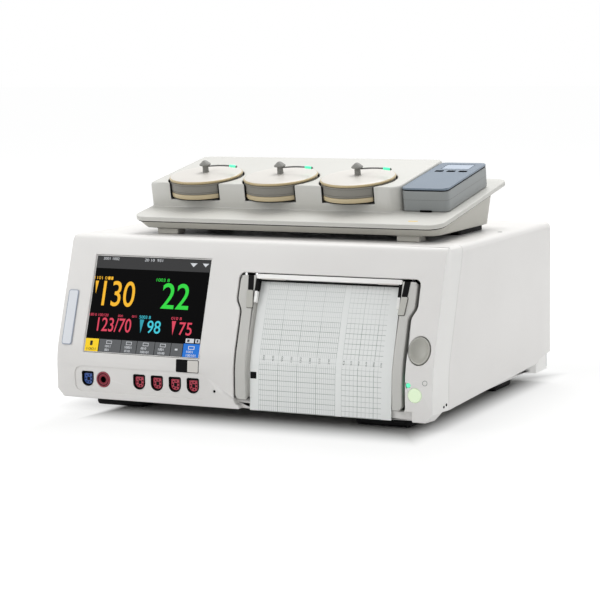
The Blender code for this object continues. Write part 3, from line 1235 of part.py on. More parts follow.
def build_transducer(number, x, frame, cream, grey, dark, wire):
    """One transducer: a lower shell, a sealing band, a domed cap, a belt knob and an aerial."""
    place = (x, TRANSDUCER_BACK, 0)
    radius = TRANSDUCER_RADIUS
    foot = TRANSDUCER_FLOOR + SEAT
    shell = turned([(0, foot), (radius - SHELL_ROUND, foot), (radius - SHELL_ROUND / 3, foot + SHELL_ROUND / 3),
                    (radius, foot + SHELL_ROUND), (radius, foot + SHELL_HEIGHT), (0, foot + SHELL_HEIGHT)])
    add_object(f"transducer_{number}_shell", shell, cream, frame, place)
    low = foot + SHELL_HEIGHT + SEAT
    band = turned([(0, low), (radius, low), (radius, low + BAND_HEIGHT), (0, low + BAND_HEIGHT)])
    add_object(f"transducer_{number}_band", band, grey, frame, place)
    rim = CAP_FOOT + CAP_RIM
    rise = CAP_DOME - CAP_RIM
    dome = [(CAP_RADIUS * math.cos(angle), rim + rise * math.sin(angle))
            for angle in (math.pi / 2 * i / 5 for i in range(1, 5))]
    cap = turned([(0, CAP_FOOT), (CAP_RADIUS - CAP_RIM / 3, CAP_FOOT), (CAP_RADIUS, CAP_FOOT + CAP_RIM / 3),
                  (CAP_RADIUS, rim)] + dome + [(0, CAP_TOP)])
    add_object(f"transducer_{number}_cap", cap, cream, frame, place)
    base = CAP_TOP + SEAT
    neck = base + KNOB_STEM
    knob = turned([(0, base), (KNOB_STEM_RADIUS, base), (KNOB_STEM_RADIUS, neck), (KNOB_RADIUS, neck),
                   (KNOB_RADIUS, neck + KNOB_HEIGHT / 4), (KNOB_RADIUS / 3, neck + KNOB_HEIGHT),
                   (0, neck + KNOB_HEIGHT)], 20)
    add_object(f"belt_knob_{number}", knob, dark, frame, place)
    start = KNOB_STEM_RADIUS + SEAT
    end = start + WIRE_LENGTH
    height = CAP_TOP + WIRE_HEIGHT
    sleeve = end - SLEEVE_LENGTH
    aerial = turned([(0, start), (WIRE_RADIUS, start), (WIRE_RADIUS, sleeve), (SLEEVE_RADIUS, sleeve),
                     (SLEEVE_RADIUS, end - SLEEVE_RADIUS), (WIRE_RADIUS, end), (0, end)], 10)
    turn_to(aerial, Matrix.Translation((0, 0, height)) @ Matrix.Rotation(math.pi / 2, 4, 'Y'))
    add_object(f"aerial_{number}", aerial, wire, frame, place)


def build_handset(frame, pale, blue, dark):
    """The handset: a case, a blue face with a sunk window, and three keys through it."""
    x1 = DOCK_RIGHT - HANDSET_FROM_RIGHT + HANDSET_WIDTH / 2
    x0 = x1 - HANDSET_WIDTH
    middle = (x0 + x1) / 2
    rear = HANDSET_BACK + HANDSET_LENGTH
    outline = rounded((x0, HANDSET_BACK), (x1, rear), [HANDSET_ROUND] * 4)
    top = SEAT + HANDSET_HEIGHT
    case = add_object("handset_case", prism(outline, SEAT, top, 'Z'), pale, frame)
    face_low = top + SEAT
    face_high = face_low + HANDSET_FACE
    face = add_object("handset_face", prism(outline, face_low, face_high, 'Z'), blue, frame)
    window = boxes(((middle - WINDOW_WIDTH / 2, rear - WINDOW_FROM_REAR - WINDOW_LENGTH / 2, face_high - WINDOW_DEPTH),
                    (middle + WINDOW_WIDTH / 2, rear - WINDOW_FROM_REAR + WINDOW_LENGTH / 2, face_high + OVERRUN)))
    holes, wells = bmesh.new(), bmesh.new()
    y = rear - KEY_FROM_REAR
    for i in range(KEY_COUNT):
        x = middle + (i - (KEY_COUNT - 1) / 2) * KEY_PITCH
        wide, long = KEY_WIDTH / 2 + SEAT, KEY_LENGTH / 2 + SEAT
        box(holes, (x - wide, y - long, top - OVERRUN), (x + wide, y + long, face_high + OVERRUN))
        spread = KEY_FLANGE + SEAT
        box(wells, (x - wide - spread, y - long - spread, top - KEY_POCKET),
            (x + wide + spread, y + long + spread, top + OVERRUN))
        place = (x, y, 0)
        body = boxes(((-KEY_WIDTH / 2, -KEY_LENGTH / 2, top - KEY_POCKET / 2),
                      (KEY_WIDTH / 2, KEY_LENGTH / 2, face_high + KEY_PROUD)))
        key = add_object(f"handset_key_{i + 1}", body, dark, frame, place)
        half = (KEY_WIDTH / 2 + KEY_FLANGE, KEY_LENGTH / 2 + KEY_FLANGE)
        flange = boxes(((-half[0], -half[1], top - KEY_POCKET / 2), (half[0], half[1], top)))
        unite(key, add_object(f"add_key_flange_{i + 1}", flange, None, frame, place))
    cut(face, add_object("cut_handset_window", window, None, frame), add_object("cut_key_holes", holes, None, frame))
    cut(case, add_object("cut_key_wells", wells, None, frame))


def main():
    clear_scene()
    white = plastic("warm white plastic", (0.80, 0.79, 0.76), 0.45)
    grey = plastic("grey plastic", (0.40, 0.40, 0.39), 0.5)
    pale = plastic("dock grey plastic", (0.69, 0.69, 0.66), 0.45)
    cream = plastic("cream plastic", (0.80, 0.70, 0.52), 0.4)
    band = plastic("band rubber", (0.27, 0.27, 0.28), 0.6)
    dark = plastic("dark plastic", (0.05, 0.05, 0.05), 0.5)
    rubber = plastic("black rubber", (0.03, 0.03, 0.03), 0.8)
    blue = plastic("blue grey face", (0.22, 0.29, 0.40), 0.35)
    board = plastic("board green", (0.04, 0.20, 0.08), 0.6)
    metal = plastic("zinc plated sheet", (0.60, 0.60, 0.62), 0.4, 1.0)
    steel = plastic("bright steel", (0.65, 0.65, 0.65), 0.3, 1.0)
    brass = plastic("gear brass", (0.75, 0.55, 0.25), 0.35, 1.0)
    glass = plastic("screen glass", (0.02, 0.02, 0.025), 0.1)
    clear = plastic("clear acrylic", (0.85, 0.88, 0.88), 0.1)
    paper = plastic("chart paper", (0.85, 0.87, 0.86), 0.8)
    socket_blue = plastic("socket blue", (0.03, 0.06, 0.14), 0.4)
    socket_red = plastic("socket red", (0.45, 0.03, 0.05), 0.4)
    socket_maroon = plastic("socket maroon", (0.25, 0.04, 0.08), 0.4)
    lamp = plastic("green lamp", (0.10, 0.75, 0.45), 0.3)
    lit = plastic("pale green button", (0.66, 0.82, 0.58), 0.4)

    face = make_frame("face_slope", face_frame())
    build_bezel(face, white)
    build_cover(white)
    build_pan(metal, rubber)
    build_rear(metal, dark, steel)
    build_inside(board, metal, dark)
    build_screen(face, glass, dark, steel)
    build_sockets(socket_blue, socket_red, socket_maroon)
    build_controls(face, grey, lit, lamp)
    hinge, origin = build_door(grey, white, steel)
    build_paper(hinge, origin, paper)
    build_guide(hinge, clear)
    build_recorder(metal, rubber, brass, dark, steel)
    tilt = make_frame("dock_slope", dock_frame())
    build_dock(pale, board, tilt)
    for number, x in enumerate(transducer_places(), 1):
        build_transducer(number, x, tilt, cream, band, dark, band)
    build_handset(tilt, pale, blue, dark)


main()
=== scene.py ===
import json
import math

import bmesh
import bpy
from mathutils import Matrix, Vector


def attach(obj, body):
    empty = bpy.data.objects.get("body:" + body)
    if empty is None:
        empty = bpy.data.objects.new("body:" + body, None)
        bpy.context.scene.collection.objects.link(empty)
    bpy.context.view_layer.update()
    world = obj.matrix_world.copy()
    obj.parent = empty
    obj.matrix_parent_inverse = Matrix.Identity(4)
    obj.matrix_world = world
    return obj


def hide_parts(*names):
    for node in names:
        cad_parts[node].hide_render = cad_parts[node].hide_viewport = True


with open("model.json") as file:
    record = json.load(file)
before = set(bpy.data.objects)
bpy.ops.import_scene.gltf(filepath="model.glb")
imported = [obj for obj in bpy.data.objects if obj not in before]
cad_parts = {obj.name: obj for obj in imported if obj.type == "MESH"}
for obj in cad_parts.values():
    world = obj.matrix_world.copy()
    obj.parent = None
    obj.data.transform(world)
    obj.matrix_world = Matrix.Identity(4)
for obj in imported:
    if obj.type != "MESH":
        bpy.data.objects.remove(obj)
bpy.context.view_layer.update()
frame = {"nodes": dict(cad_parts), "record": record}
scene = bpy.context.scene
mm = 0.001

# the faces that pieces are placed on: each one's frame has z outwards and y up the face
planes = {"front": -0.160, "slopeTilt": 18.64, "slopeFoot": (0, -0.155279, 0.069766), "bendRadius": 0.090,
          "dockTilt": 9.5, "dockFront": (0, -0.096, 0.190)}
slopeTilt = math.radians(planes["slopeTilt"])


def at(x, y, z=0.0):
    return Matrix.Translation((x, y, z))


def turned(angle, axis="X"):
    return Matrix.Rotation(angle, 4, axis)


faceFrame = at(*planes["slopeFoot"]) @ turned(math.pi / 2 - slopeTilt)
dockFrame = at(*planes["dockFront"]) @ turned(math.radians(planes["dockTilt"]))
frontFrame = at(0, planes["front"]) @ turned(math.pi / 2)
uphill = faceFrame.to_3x3() @ Vector((0, 1, 0))
offDock = dockFrame.to_3x3() @ Vector((0, 0, 1))


def onBend(x, down):
    # a frame on the bend between the slope and the upright front
    radius = planes["bendRadius"]
    return faceFrame @ at(x, 0, -radius) @ turned(min(down / radius, slopeTilt)) @ at(0, 0, radius)


def tone(red, green, blue):
    # 0 to 255 as seen on a screen, turned into linear light
    return tuple(((c / 255 + 0.055) / 1.055) ** 2.4 if c > 10 else c / 3295 for c in (red, green, blue)) + (1.0,)


class Signal:
    def __init__(self, shader, socket):
        self.shader = shader
        self.socket = socket

    def math(self, operation, first, second=0.0, clamp=False):
        return self.shader.add("ShaderNodeMath", {"operation": operation, "use_clamp": clamp}, {0: first, 1: second})

    def __add__(self, other):
        return self.math("ADD", self, other)

    def __radd__(self, other):
        return self.math("ADD", other, self)

    def __sub__(self, other):
        return self.math("SUBTRACT", self, other)

    def __rsub__(self, other):
        return self.math("SUBTRACT", other, self)

    def __mul__(self, other):
        return self.math("MULTIPLY", self, other)

    def __rmul__(self, other):
        return self.math("MULTIPLY", other, self)

    def __mod__(self, other):
        return self.math("FLOORED_MODULO", self, other)

    def __gt__(self, other):
        return self.math("GREATER_THAN", self, other)

    def __lt__(self, other):
        return self.math("LESS_THAN", self, other)

    def __abs__(self):
        return self.math("ABSOLUTE", self)

    def either(self, other):
        return self.math("MAXIMUM", self, other)

    def held(self):
        # kept between 0 and 1
        return self.math("ADD", self, 0.0, True)


class Shader:
    def __init__(self, tree):
        self.tree = tree
        tree.nodes.clear()

    def add(self, kind, settings=None, inputs=None, output=0):
        # any node: its settings, then the values or links of its sockets
        node = self.tree.nodes.new(kind)
        for key, value in (settings or {}).items():
            if key == "stops":
                ramp = node.color_ramp.elements
                while len(ramp) < len(value):
                    ramp.new(0.5)
                for stop, (position, color) in zip(ramp, value):
                    stop.position = position
                    stop.color = color
            else:
                setattr(node, key, value)
        for key, value in (inputs or {}).items():
            if isinstance(value, Signal):
                self.tree.links.new(value.socket, node.inputs[key])
            else:
                node.inputs[key].default_value = value
        return Signal(self, node.outputs[output]) if node.outputs else None

    def finish(self, inputs):
        shaded = self.add("ShaderNodeBsdfPrincipled", {}, inputs)
        self.add("ShaderNodeOutputMaterial", {}, {"Surface": shaded})

    def seen(self):
        # 1 for what the camera sees straight, in a mirror or through glass
        rays = ("Is Camera Ray", "Is Glossy Ray", "Is Transmission Ray")
        straight, mirrored, through = (self.add("ShaderNodeLightPath", output=ray) for ray in rays)
        return straight.either(mirrored).either(through)


def newMaterial(name):
    material = bpy.data.materials.new(name)
    material.use_nodes = True
    return material, Shader(material.node_tree)


# what every moulded finish has, unless its own row says otherwise
plain = {"cloud": 11.0, "drift": 0.985, "grain": 1500.0, "bump": 0.25, "depth": 0.00004, "rough": 0.42, "spread": 0.15,
         "edgeHighlight": 0.12, "edgeHighlightFrom": 0.51, "edgeHighlightGain": 14.0, "edgeHighlightGloss": 0.06}


def moulded(name, look):
    # one moulded or cast stuff: a slow drift of colour, edges painted paler as a painted highlight, and a fine grain in
    # gloss and relief
    material, shader = newMaterial(name)
    place = shader.add("ShaderNodeTexCoord", output="Object")
    cloud = shader.add("ShaderNodeTexNoise", {}, {"Vector": place, "Scale": look["cloud"], "Detail": 3.0})
    grain = shader.add("ShaderNodeTexNoise", {}, {"Vector": place, "Scale": look["grain"], "Detail": 4.0})
    base = look["color"]
    low = tone(*(c * look["drift"] for c in base))
    color = shader.add("ShaderNodeValToRGB", {"stops": [(0.35, low), (0.62, tone(*base))]}, {"Fac": cloud})
    point = shader.add("ShaderNodeNewGeometry", output="Pointiness")
    # convex edges are painted paler and a little glossier: a painted highlight
    paintedEdgeHighlight = ((point - look["edgeHighlightFrom"]) * look["edgeHighlightGain"] * (cloud + 0.5)).held()
    highlightColor = tone(*(c + (255 - c) * look["edgeHighlight"] for c in base))
    color = shader.add("ShaderNodeMix", {"data_type": "RGBA"}, {0: paintedEdgeHighlight, 6: color, 7: highlightColor}, 2)
    bump = shader.add("ShaderNodeBump", {}, {"Height": grain, "Strength": look["bump"], "Distance": look["depth"]})
    gloss = (look["rough"] + (grain - 0.5) * look["spread"] - paintedEdgeHighlight * look["edgeHighlightGloss"]).held()
    shader.finish({"Base Color": color, "Roughness": gloss, "Normal": bump, **look.get("more", {})})
    return material


# the finishes of the CAD nodes' own slots
looks = {
    "body_white": {"color": (231, 229, 226)},
    "arm_grey": {"color": (199, 198, 193), "rough": 0.46},
    "dock_grey": {"color": (206, 205, 199), "rough": 0.44},
    "cream": {"color": (205, 187, 148), "rough": 0.36, "drift": 0.975},
    "band_grey": {"color": (124, 121, 113), "rough": 0.5},
    "dark_plastic": {"color": (30, 31, 34), "rough": 0.45, "drift": 0.85, "edgeHighlight": 0.06,
                     "more": {"Specular IOR Level": 0.2}},
    "black_rubber": {"color": (28, 28, 29), "rough": 0.72, "drift": 0.85, "grain": 900.0, "edgeHighlight": 0.04,
                     "more": {"Specular IOR Level": 0.15}},
    "blue_face": {"color": (104, 119, 135), "rough": 0.4},
    "board_green": {"color": (38, 92, 58), "rough": 0.45, "drift": 0.8, "cloud": 120.0},
    "sheet_metal": {"color": (186, 188, 190), "rough": 0.34, "more": {"Metallic": 1.0}},
    "bright_steel": {"color": (205, 206, 208), "rough": 0.2, "more": {"Metallic": 1.0}},
    "gear_brass": {"color": (204, 170, 96), "rough": 0.3, "more": {"Metallic": 1.0}},
    "screen_glass": {"color": (6, 6, 7), "rough": 0.24, "bump": 0.02, "edgeHighlight": 0.0,
                     "more": {"Specular IOR Level": 0.012}},
    "clear_acrylic": {"color": (250, 249, 246), "rough": 0.1, "spread": 0.04, "bump": 0.02,
                      "more": {"Transmission Weight": 0.05, "IOR": 1.49}},
    "chart_paper": {"color": (216, 219, 217), "rough": 0.62, "grain": 2200.0},
    "socket_blue": {"color": (26, 70, 160), "rough": 0.35},
    "socket_red": {"color": (190, 36, 60), "rough": 0.35},
    "socket_maroon": {"color": (138, 22, 44), "rough": 0.35},
    "green_lamp": {"color": (90, 225, 175), "rough": 0.3, "bump": 0.05,
                   "more": {"Emission Color": tone(70, 225, 165), "Emission Strength": 0.7}},
    "pale_green": {"color": (231, 246, 214), "rough": 0.4, "bump": 0.1,
                   "more": {"Emission Color": tone(205, 240, 190), "Emission Strength": 0.18}},
}
# further finishes, each with the slot that it is a shade of
moreLooks = {
    "lid_white": {"slot": "body_white", "color": (213, 209, 202), "rough": 0.36},
    # the pan's own white, also laid on the front moulding's side strips as a painted highlight
    "pan_white_and_highlight": {"slot": "sheet_metal", "color": (240, 239, 236)},
    "case_grey": {"slot": "dock_grey", "color": (142, 146, 146), "rough": 0.42},
    "tray_grey": {"slot": "dock_grey", "color": (186, 184, 175), "rough": 0.46},
    # a darker copy of cream for the lids' lower rims: painted shade
    "cream_painted_shade": {"slot": "cream", "color": (187, 167, 124), "rough": 0.36, "drift": 0.975},
    "wire_grey": {"slot": "band_grey", "color": (96, 96, 94), "rough": 0.5},
    "knob_grey": {"slot": "band_grey", "color": (127, 126, 121), "rough": 0.5},
    "button_grey": {"slot": "arm_grey", "color": (182, 181, 173), "rough": 0.4},
    "plate_blue": {"slot": "body_white", "color": (150, 160, 176), "rough": 0.35},
    "plate_pale": {"slot": "body_white", "color": (220, 224, 230), "rough": 0.35},
    "window_pale": {"slot": "screen_glass", "color": (167, 182, 201), "rough": 0.18, "bump": 0.03},
    "ink": {"slot": "dark_plastic", "color": (112, 118, 115), "rough": 0.6, "edgeHighlight": 0.0},
    # black print, and also the black of pieces that stand for shadow: painted shade
    "black_ink_and_shade": {"slot": "dark_plastic", "color": (14, 14, 15), "rough": 0.6, "edgeHighlight": 0.02,
                  "more": {"Specular IOR Level": 0.06}},
    "key_black": {"slot": "dark_plastic", "color": (10, 10, 11), "rough": 0.7, "edgeHighlight": 0.0,
                  "more": {"Specular IOR Level": 0.0}},
    "amber_lamp": {"slot": "pale_green", "color": (232, 206, 140), "rough": 0.3,
                   "more": {"Emission Color": tone(255, 214, 120), "Emission Strength": 0.12}},
}
materials = {name: moulded(name, {**plain, **look}) for name, look in {**looks, **moreLooks}.items()}
for entry in frame["record"]["subparts"]:
    for holder in frame["nodes"][entry["node"]].material_slots:
        holder.material = materials[entry["material_slot"]]
print("materials", len(materials))


def addPiece(name, shape, finish, body, nodes=(), edge=0.0, turn=32.0, segments=3):
    # a finished piece on its body; turn is the angle in degrees past which an edge is sharp
    bmesh.ops.recalc_face_normals(shape, faces=shape.faces)
    mesh = bpy.data.meshes.new(name)
    shape.to_mesh(mesh)
    shape.free()
    finishes = [finish] if isinstance(finish, str) else list(finish)
    for item in finishes:
        mesh.materials.append(materials[item])
    for polygon in mesh.polygons:
        polygon.use_smooth = True
    mesh.set_sharp_from_angle(angle=math.radians(turn))
    piece = bpy.data.objects.new(name, mesh)
    scene.collection.objects.link(piece)
    if edge:
        bevel = piece.modifiers.new("edge", "BEVEL")
        bevel.width = edge
        bevel.segments = segments
        bevel.limit_method = "WEIGHT" if "bevel_weight_edge" in mesh.attributes else "ANGLE"
        bevel.angle_limit = math.radians(turn)
        bevel.use_clamp_overlap = False
        bevel.harden_normals = True
    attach(piece, body)
    if nodes:
        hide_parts(*nodes)


def cadShape(node, whole=lambda face: False):
    # a copy of a node's mesh with its flat faces whole again
    shape = bmesh.new()
    shape.from_mesh(frame["nodes"][node].data)
    bmesh.ops.remove_doubles(shape, verts=shape.verts, dist=0.00001)
    bmesh.ops.dissolve_limit(shape, angle_limit=math.radians(0.5), verts=shape.verts, edges=shape.edges)
    # a wide face with bays can tear when its edges are bevelled, so it's cut into triangles unless it's kept whole
    bmesh.ops.triangulate(shape, faces=[f for f in shape.faces if len(f.verts) > 12 and not whole(f)])
    return shape


def cutAcross(shape, point, normal, **more):
    everything = shape.verts[:] + shape.edges[:] + shape.faces[:]
    bmesh.ops.bisect_plane(shape, geom=everything, plane_co=point, plane_no=normal, **more)


def slab(low, high, corner=0.0, place=None, steps=6, corners=None):
    # a box with its four upright edges rounded, or only the chosen ones
    shape = bmesh.new()
    low, high = Vector(low), Vector(high)
    size = high - low
    bmesh.ops.create_cube(shape, size=1.0, matrix=Matrix.Translation((low + high) / 2) @ Matrix.Diagonal((*size, 1)))
    upright = [e for e in shape.edges if abs(e.verts[0].co.z - e.verts[1].co.z) > size.z / 2]
    for radius, chosen in corners or ([(corner, lambda co: True)] if corner else []):
        edges = [e for e in upright if e.is_valid and chosen(e.verts[0].co)]
        bmesh.ops.bevel(shape, geom=edges, offset=radius, segments=steps, profile=0.5, affect="EDGES", material=-1)
    if place:
        shape.transform(place)
    return shape


def pad(width, length, low, high, corner=0.0, place=None):
    # a slab centred on its frame
    return slab((-width / 2, -length / 2, low), (width / 2, length / 2, high), corner, place)


def shield(low, high, lowRound, topRound):
    # a socket's outline: well rounded below and barely above
    return slab(low, high, steps=8, corners=[(lowRound, lambda co: co.y < 0), (topRound, lambda co: co.y > 0.001)])


def spun(profile, place, steps=72, stretch=None):
    # a profile of radius and height, turned about z
    shape = bmesh.new()
    points = [shape.verts.new((r, 0, z)) for r, z in profile]
    edges = [shape.edges.new(pair) for pair in zip(points, points[1:])]
    bmesh.ops.spin(shape, geom=points + edges, cent=(0, 0, 0), axis=(0, 0, 1), angle=math.tau, steps=steps,
                   use_merge=True)
    bmesh.ops.remove_doubles(shape, verts=shape.verts, dist=0.000002)
    if stretch:
        shape.transform(Matrix.Diagonal((*stretch, 1)))
    shape.transform(place)
    return shape


def disc(radius, low, high, place, steps, crown=0.0):
    # a flat disc, or one whose middle stands up by its crown
    return spun([(0, low), (radius, low), (radius, high), (0, high + crown)], place, steps)


def joined(parts):
    # several shapes as one, each with the number of its finish, or None where its faces have theirs
    whole = bmesh.new()
    for number, part in parts:
        for face in part.faces if number is not None else []:
            face.material_index = number
        scratch = bpy.data.meshes.new("scratch")
        part.to_mesh(scratch)
        part.free()
        whole.from_mesh(scratch)
        bpy.data.meshes.remove(scratch)
    return whole


def figures(text, low, high, place, weight=0.0):
    # plain numerals, stretched to a box
    curve = bpy.data.curves.new("figures", "FONT")
    curve.body = text
    curve.extrude = 0.00002
    curve.offset = weight
    holder = bpy.data.objects.new("figures", curve)
    flat = bpy.data.meshes.new_from_object(holder)
    shape = bmesh.new()
    shape.from_mesh(flat)
    bpy.data.objects.remove(holder)
    bpy.data.curves.remove(curve)
    bpy.data.meshes.remove(flat)
    xs = [v.co.x for v in shape.verts]
    ys = [v.co.y for v in shape.verts]
    scale = ((high[0] - low[0]) / (max(xs) - min(xs)), (high[1] - low[1]) / (max(ys) - min(ys)), 1.0, 1.0)
    shape.transform(place @ at(*low) @ Matrix.Diagonal(scale) @ at(-min(xs), -min(ys)))
    return shape


# front moulding: its top corners come into the plane of their side strips
bezelFace = {"edge": 0.0009, "sharp": 32.0, "bendLevels": (0.0483, 0.0556, 0.0627, 0.0698), "stripSide": 0.2065,
             "skirtTop": 0.0184, "skirtLow": 0.012, "skirtSide": 0.203, "skirtIn": 0.0075}
bay = {"left": -0.196, "right": -0.028, "top": 0.047, "front": -0.1575, "share": 0.25}
corner = {"low": 0.1655, "back": -0.110, "side": 0.2055, "start": -0.1229, "level": 0.1659, "lean": 0.3373,
          "long": 0.0281, "stripFront": 0.207, "stripOut": 0.005, "flatSide": 0.2069, "roundSide": 0.2063,
          "roundTo": 0.2073}
bezel = cadShape("front_bezel", whole=lambda face: face.normal.y < 0.3)
for side in (1, -1):
    for vert in bezel.verts:
        x, y, z = vert.co.x * side, vert.co.y, vert.co.z
        if z > corner["low"] and y < corner["back"] and x > corner["side"]:
            share = (y - corner["start"] - (z - corner["level"]) * corner["lean"]) / corner["long"]
            inPlane = corner["stripFront"] + corner["stripOut"] * min(max(share, 0.0), 1.0)
            onRound = corner["roundTo"] + (x - corner["roundSide"])
            vert.co.x += side * (inPlane - (x if x > corner["flatSide"] else onRound))
    strip = [f for f in bezel.faces if abs(f.normal.x) > 0.3 and abs(f.normal.z) < 0.9
             and all(v.co.x * side > corner["flatSide"] for v in f.verts) and min(v.co.z for v in f.verts) < 0.12]
    edgeVerts = {v for f in bmesh.ops.dissolve_faces(bezel, faces=strip)["region"] for v in f.verts}
    for level in bezelFace["bendLevels"]:
        pair = sorted((v for v in edgeVerts if v.is_valid and abs(v.co.z - level) < 0.0003), key=lambda v: v.co.y)
        if len(pair) > 1:
            bmesh.ops.connect_vert_pair(bezel, verts=[pair[0], pair[-1]])
# the skirt below the sides stands in at both ends
cutAcross(bezel, (0, 0, bezelFace["skirtTop"]), (0, 0, 1))
for vert in bezel.verts:
    if vert.co.z < bezelFace["skirtLow"] and abs(vert.co.x) > bezelFace["skirtSide"]:
        vert.co.x -= math.copysign(bezelFace["skirtIn"], vert.co.x)
# the step round the socket bay is shallow, so its edges are broken less than the others
weight = bezel.edges.layers.float.new("bevel_weight_edge")
bezel.normal_update()
for e in bezel.edges:
    shallow = all(bay["left"] < v.co.x < bay["right"] and v.co.y < bay["front"] and v.co.z < bay["top"]
                  for v in e.verts)
    if e.calc_face_angle(0.0) > math.radians(bezelFace["sharp"]):
        e[weight] = bay["share"] if shallow else 1.0
# the side strips take the paler pan white: a painted highlight
for face in bezel.faces:
    if abs(face.normal.x) > 0.3 and all(abs(v.co.x) > bezelFace["stripSide"] for v in face.verts):
        face.material_index = 1
addPiece("bezel", bezel, ["body_white", "pan_white_and_highlight"], "monitor", ["front_bezel"], bezelFace["edge"])

# cover, base tray and feet
housing = {"coverEdge": 0.0008, "footEdge": 0.003, "panIn": 0.012, "panTop": 0.0184, "panSide": 0.205,
           "panStep": 0.1190, "panStepLong": 0.004, "footOut": 0.006, "footForward": -0.012}
addPiece("cover", cadShape("top_cover"), "body_white", "monitor", ["top_cover"], housing["coverEdge"])
pan = cadShape("base_pan")
for y in (housing["panStep"], housing["panStep"] + housing["panStepLong"]):
    cutAcross(pan, (0, y, 0), (0, 1, 0))
for vert in pan.verts:
    x, y, z = vert.co
    if z < housing["panTop"] and abs(x) > housing["panSide"] and y < housing["panStep"] + 0.0005:
        vert.co.x -= math.copysign(housing["panIn"], x)
addPiece("pan", pan, "pan_white_and_highlight", "monitor", ["base_pan"])
for end, side in (("front", "left"), ("front", "right"), ("rear", "left"), ("rear", "right")):
    foot = cadShape(f"foot_{end}_{side}")
    if end == "rear":
        foot.transform(at(housing["footOut"] * (1 if side == "right" else -1), housing["footForward"]))
    addPiece(f"rubber_{end}_{side}", foot, "black_rubber", "monitor", [f"foot_{end}_{side}"], housing["footEdge"])
sideDots = {"side_dot_1": ((0.2105, -0.1408, 0.0232), 0.0012), "side_dot_2": ((0.2112, -0.1362, 0.0246), 0.0014)}
for name, (spot, radius) in sideDots.items():
    dot = disc(radius, -0.0012, 0.00025, at(*spot) @ turned(math.pi / 2, "Y"), 20, crown=0.00005)
    addPiece(name, dot, "black_ink_and_shade", "monitor", turn=50)
plug = spun([(0, -0.0004), (0.0026, -0.0004), (0.0026, 0.0), (0.0022, 0.0002), (0, 0.0002)],
            at(0.2007, 0.0368, 0.172), 32)
addPiece("cover_plug", plug, "wire_grey", "monitor", turn=50)
print("housing")


def glowing(name, color):
    # a lit spot of the display: the light fades a little across its pixels
    material, shader = newMaterial(name)
    place = shader.add("ShaderNodeTexCoord", output="Object")
    pixels = shader.add("ShaderNodeTexNoise", {}, {"Vector": place, "Scale": 2500.0, "Detail": 1.0})
    dim = tone(*(c * 0.9 for c in color))
    light = shader.add("ShaderNodeValToRGB", {"stops": [(0.3, dim), (0.6, tone(*color))]}, {"Fac": pixels})
    shader.finish({"Base Color": (0.01, 0.01, 0.01, 1.0), "Roughness": 0.5, "Specular IOR Level": 0.1,
                   "Emission Color": light, "Emission Strength": 1.0})
    return material


# touch screen: a matt glass with a pale line round it, and a lit picture of plain bars and numbers, in mm
screen = {"width": 132.5, "height": 99.4, "margin": 0.5, "line": 0.55, "lineHigh": 0.25, "lift": 0.03, "layer": 0.02,
          "textLift": 0.1, "glassEdge": 0.3}
screenFrame = faceFrame @ at(-0.1092, 0.0376, -0.0016)
textFrame = screenFrame @ at(0, 0, screen["textLift"] * mm)
addPiece("glass", cadShape("touch_glass"), "screen_glass", "monitor", ["touch_glass"], screen["glassEdge"] * mm)
glow = {
    "lit_header": (50, 50, 51), "lit_white": (215, 218, 222), "lit_orange": (255, 190, 36), "lit_green": (40, 222, 62),
    "lit_red": (226, 66, 92), "lit_cyan": (64, 206, 224), "lit_teal": (40, 160, 176), "lit_yellow": (255, 214, 30),
    "lit_grey": (92, 94, 96), "lit_blue": (28, 116, 214), "lit_dark": (70, 74, 80), "lit_black": (24, 24, 20),
}
for name, color in glow.items():
    materials[name] = glowing(name, color)
glowNames = list(glow)
# each pane: its light, left, low, right, top, and how many layers it lies up
panes = [
    ("lit_header", -66, 36.8, 66, 49.5, 0), ("lit_orange", -50.2, 25.0, -47.4, 28.2, 2),
    ("lit_orange", -46.6, 25.0, -44.2, 28.2, 2), ("lit_yellow", -66, -49.4, -50.5, -36.3, 0),
    ("lit_grey", -49.6, -49.4, -24.4, -36.3, 0), ("lit_grey", -23.8, -49.4, -6, -36.3, 0),
    ("lit_grey", -5.4, -49.4, 14.6, -36.3, 0), ("lit_grey", 15.2, -49.4, 33.2, -36.3, 0),
    ("lit_grey", 33.8, -49.4, 46.8, -36.3, 0), ("lit_blue", 47.6, -49.4, 66, -35.9, 0),
    ("lit_white", 49.2, -35.1, 58.5, -30.7, 0), ("lit_white", 60.2, -34.9, 65, -30.9, 0),
    ("lit_dark", 51.0, -34.2, 53.6, -31.6, 2), ("lit_dark", 61.6, -34.2, 63.6, -31.6, 2),
    ("lit_white", 38.4, -43.4, 41.4, -41.6, 2), ("lit_white", 53.2, -41.6, 60.2, -38.2, 1),
    ("lit_blue", 54.0, -41.0, 59.4, -38.8, 2),
]
for x in (-41.5, -18.3, 1.2, 21.0):
    panes.append(("lit_white", x, -40.9, x + 6.4, -37.6, 1))
    panes.append(("lit_grey", x + 0.5, -40.4, x + 5.9, -38.1, 2))
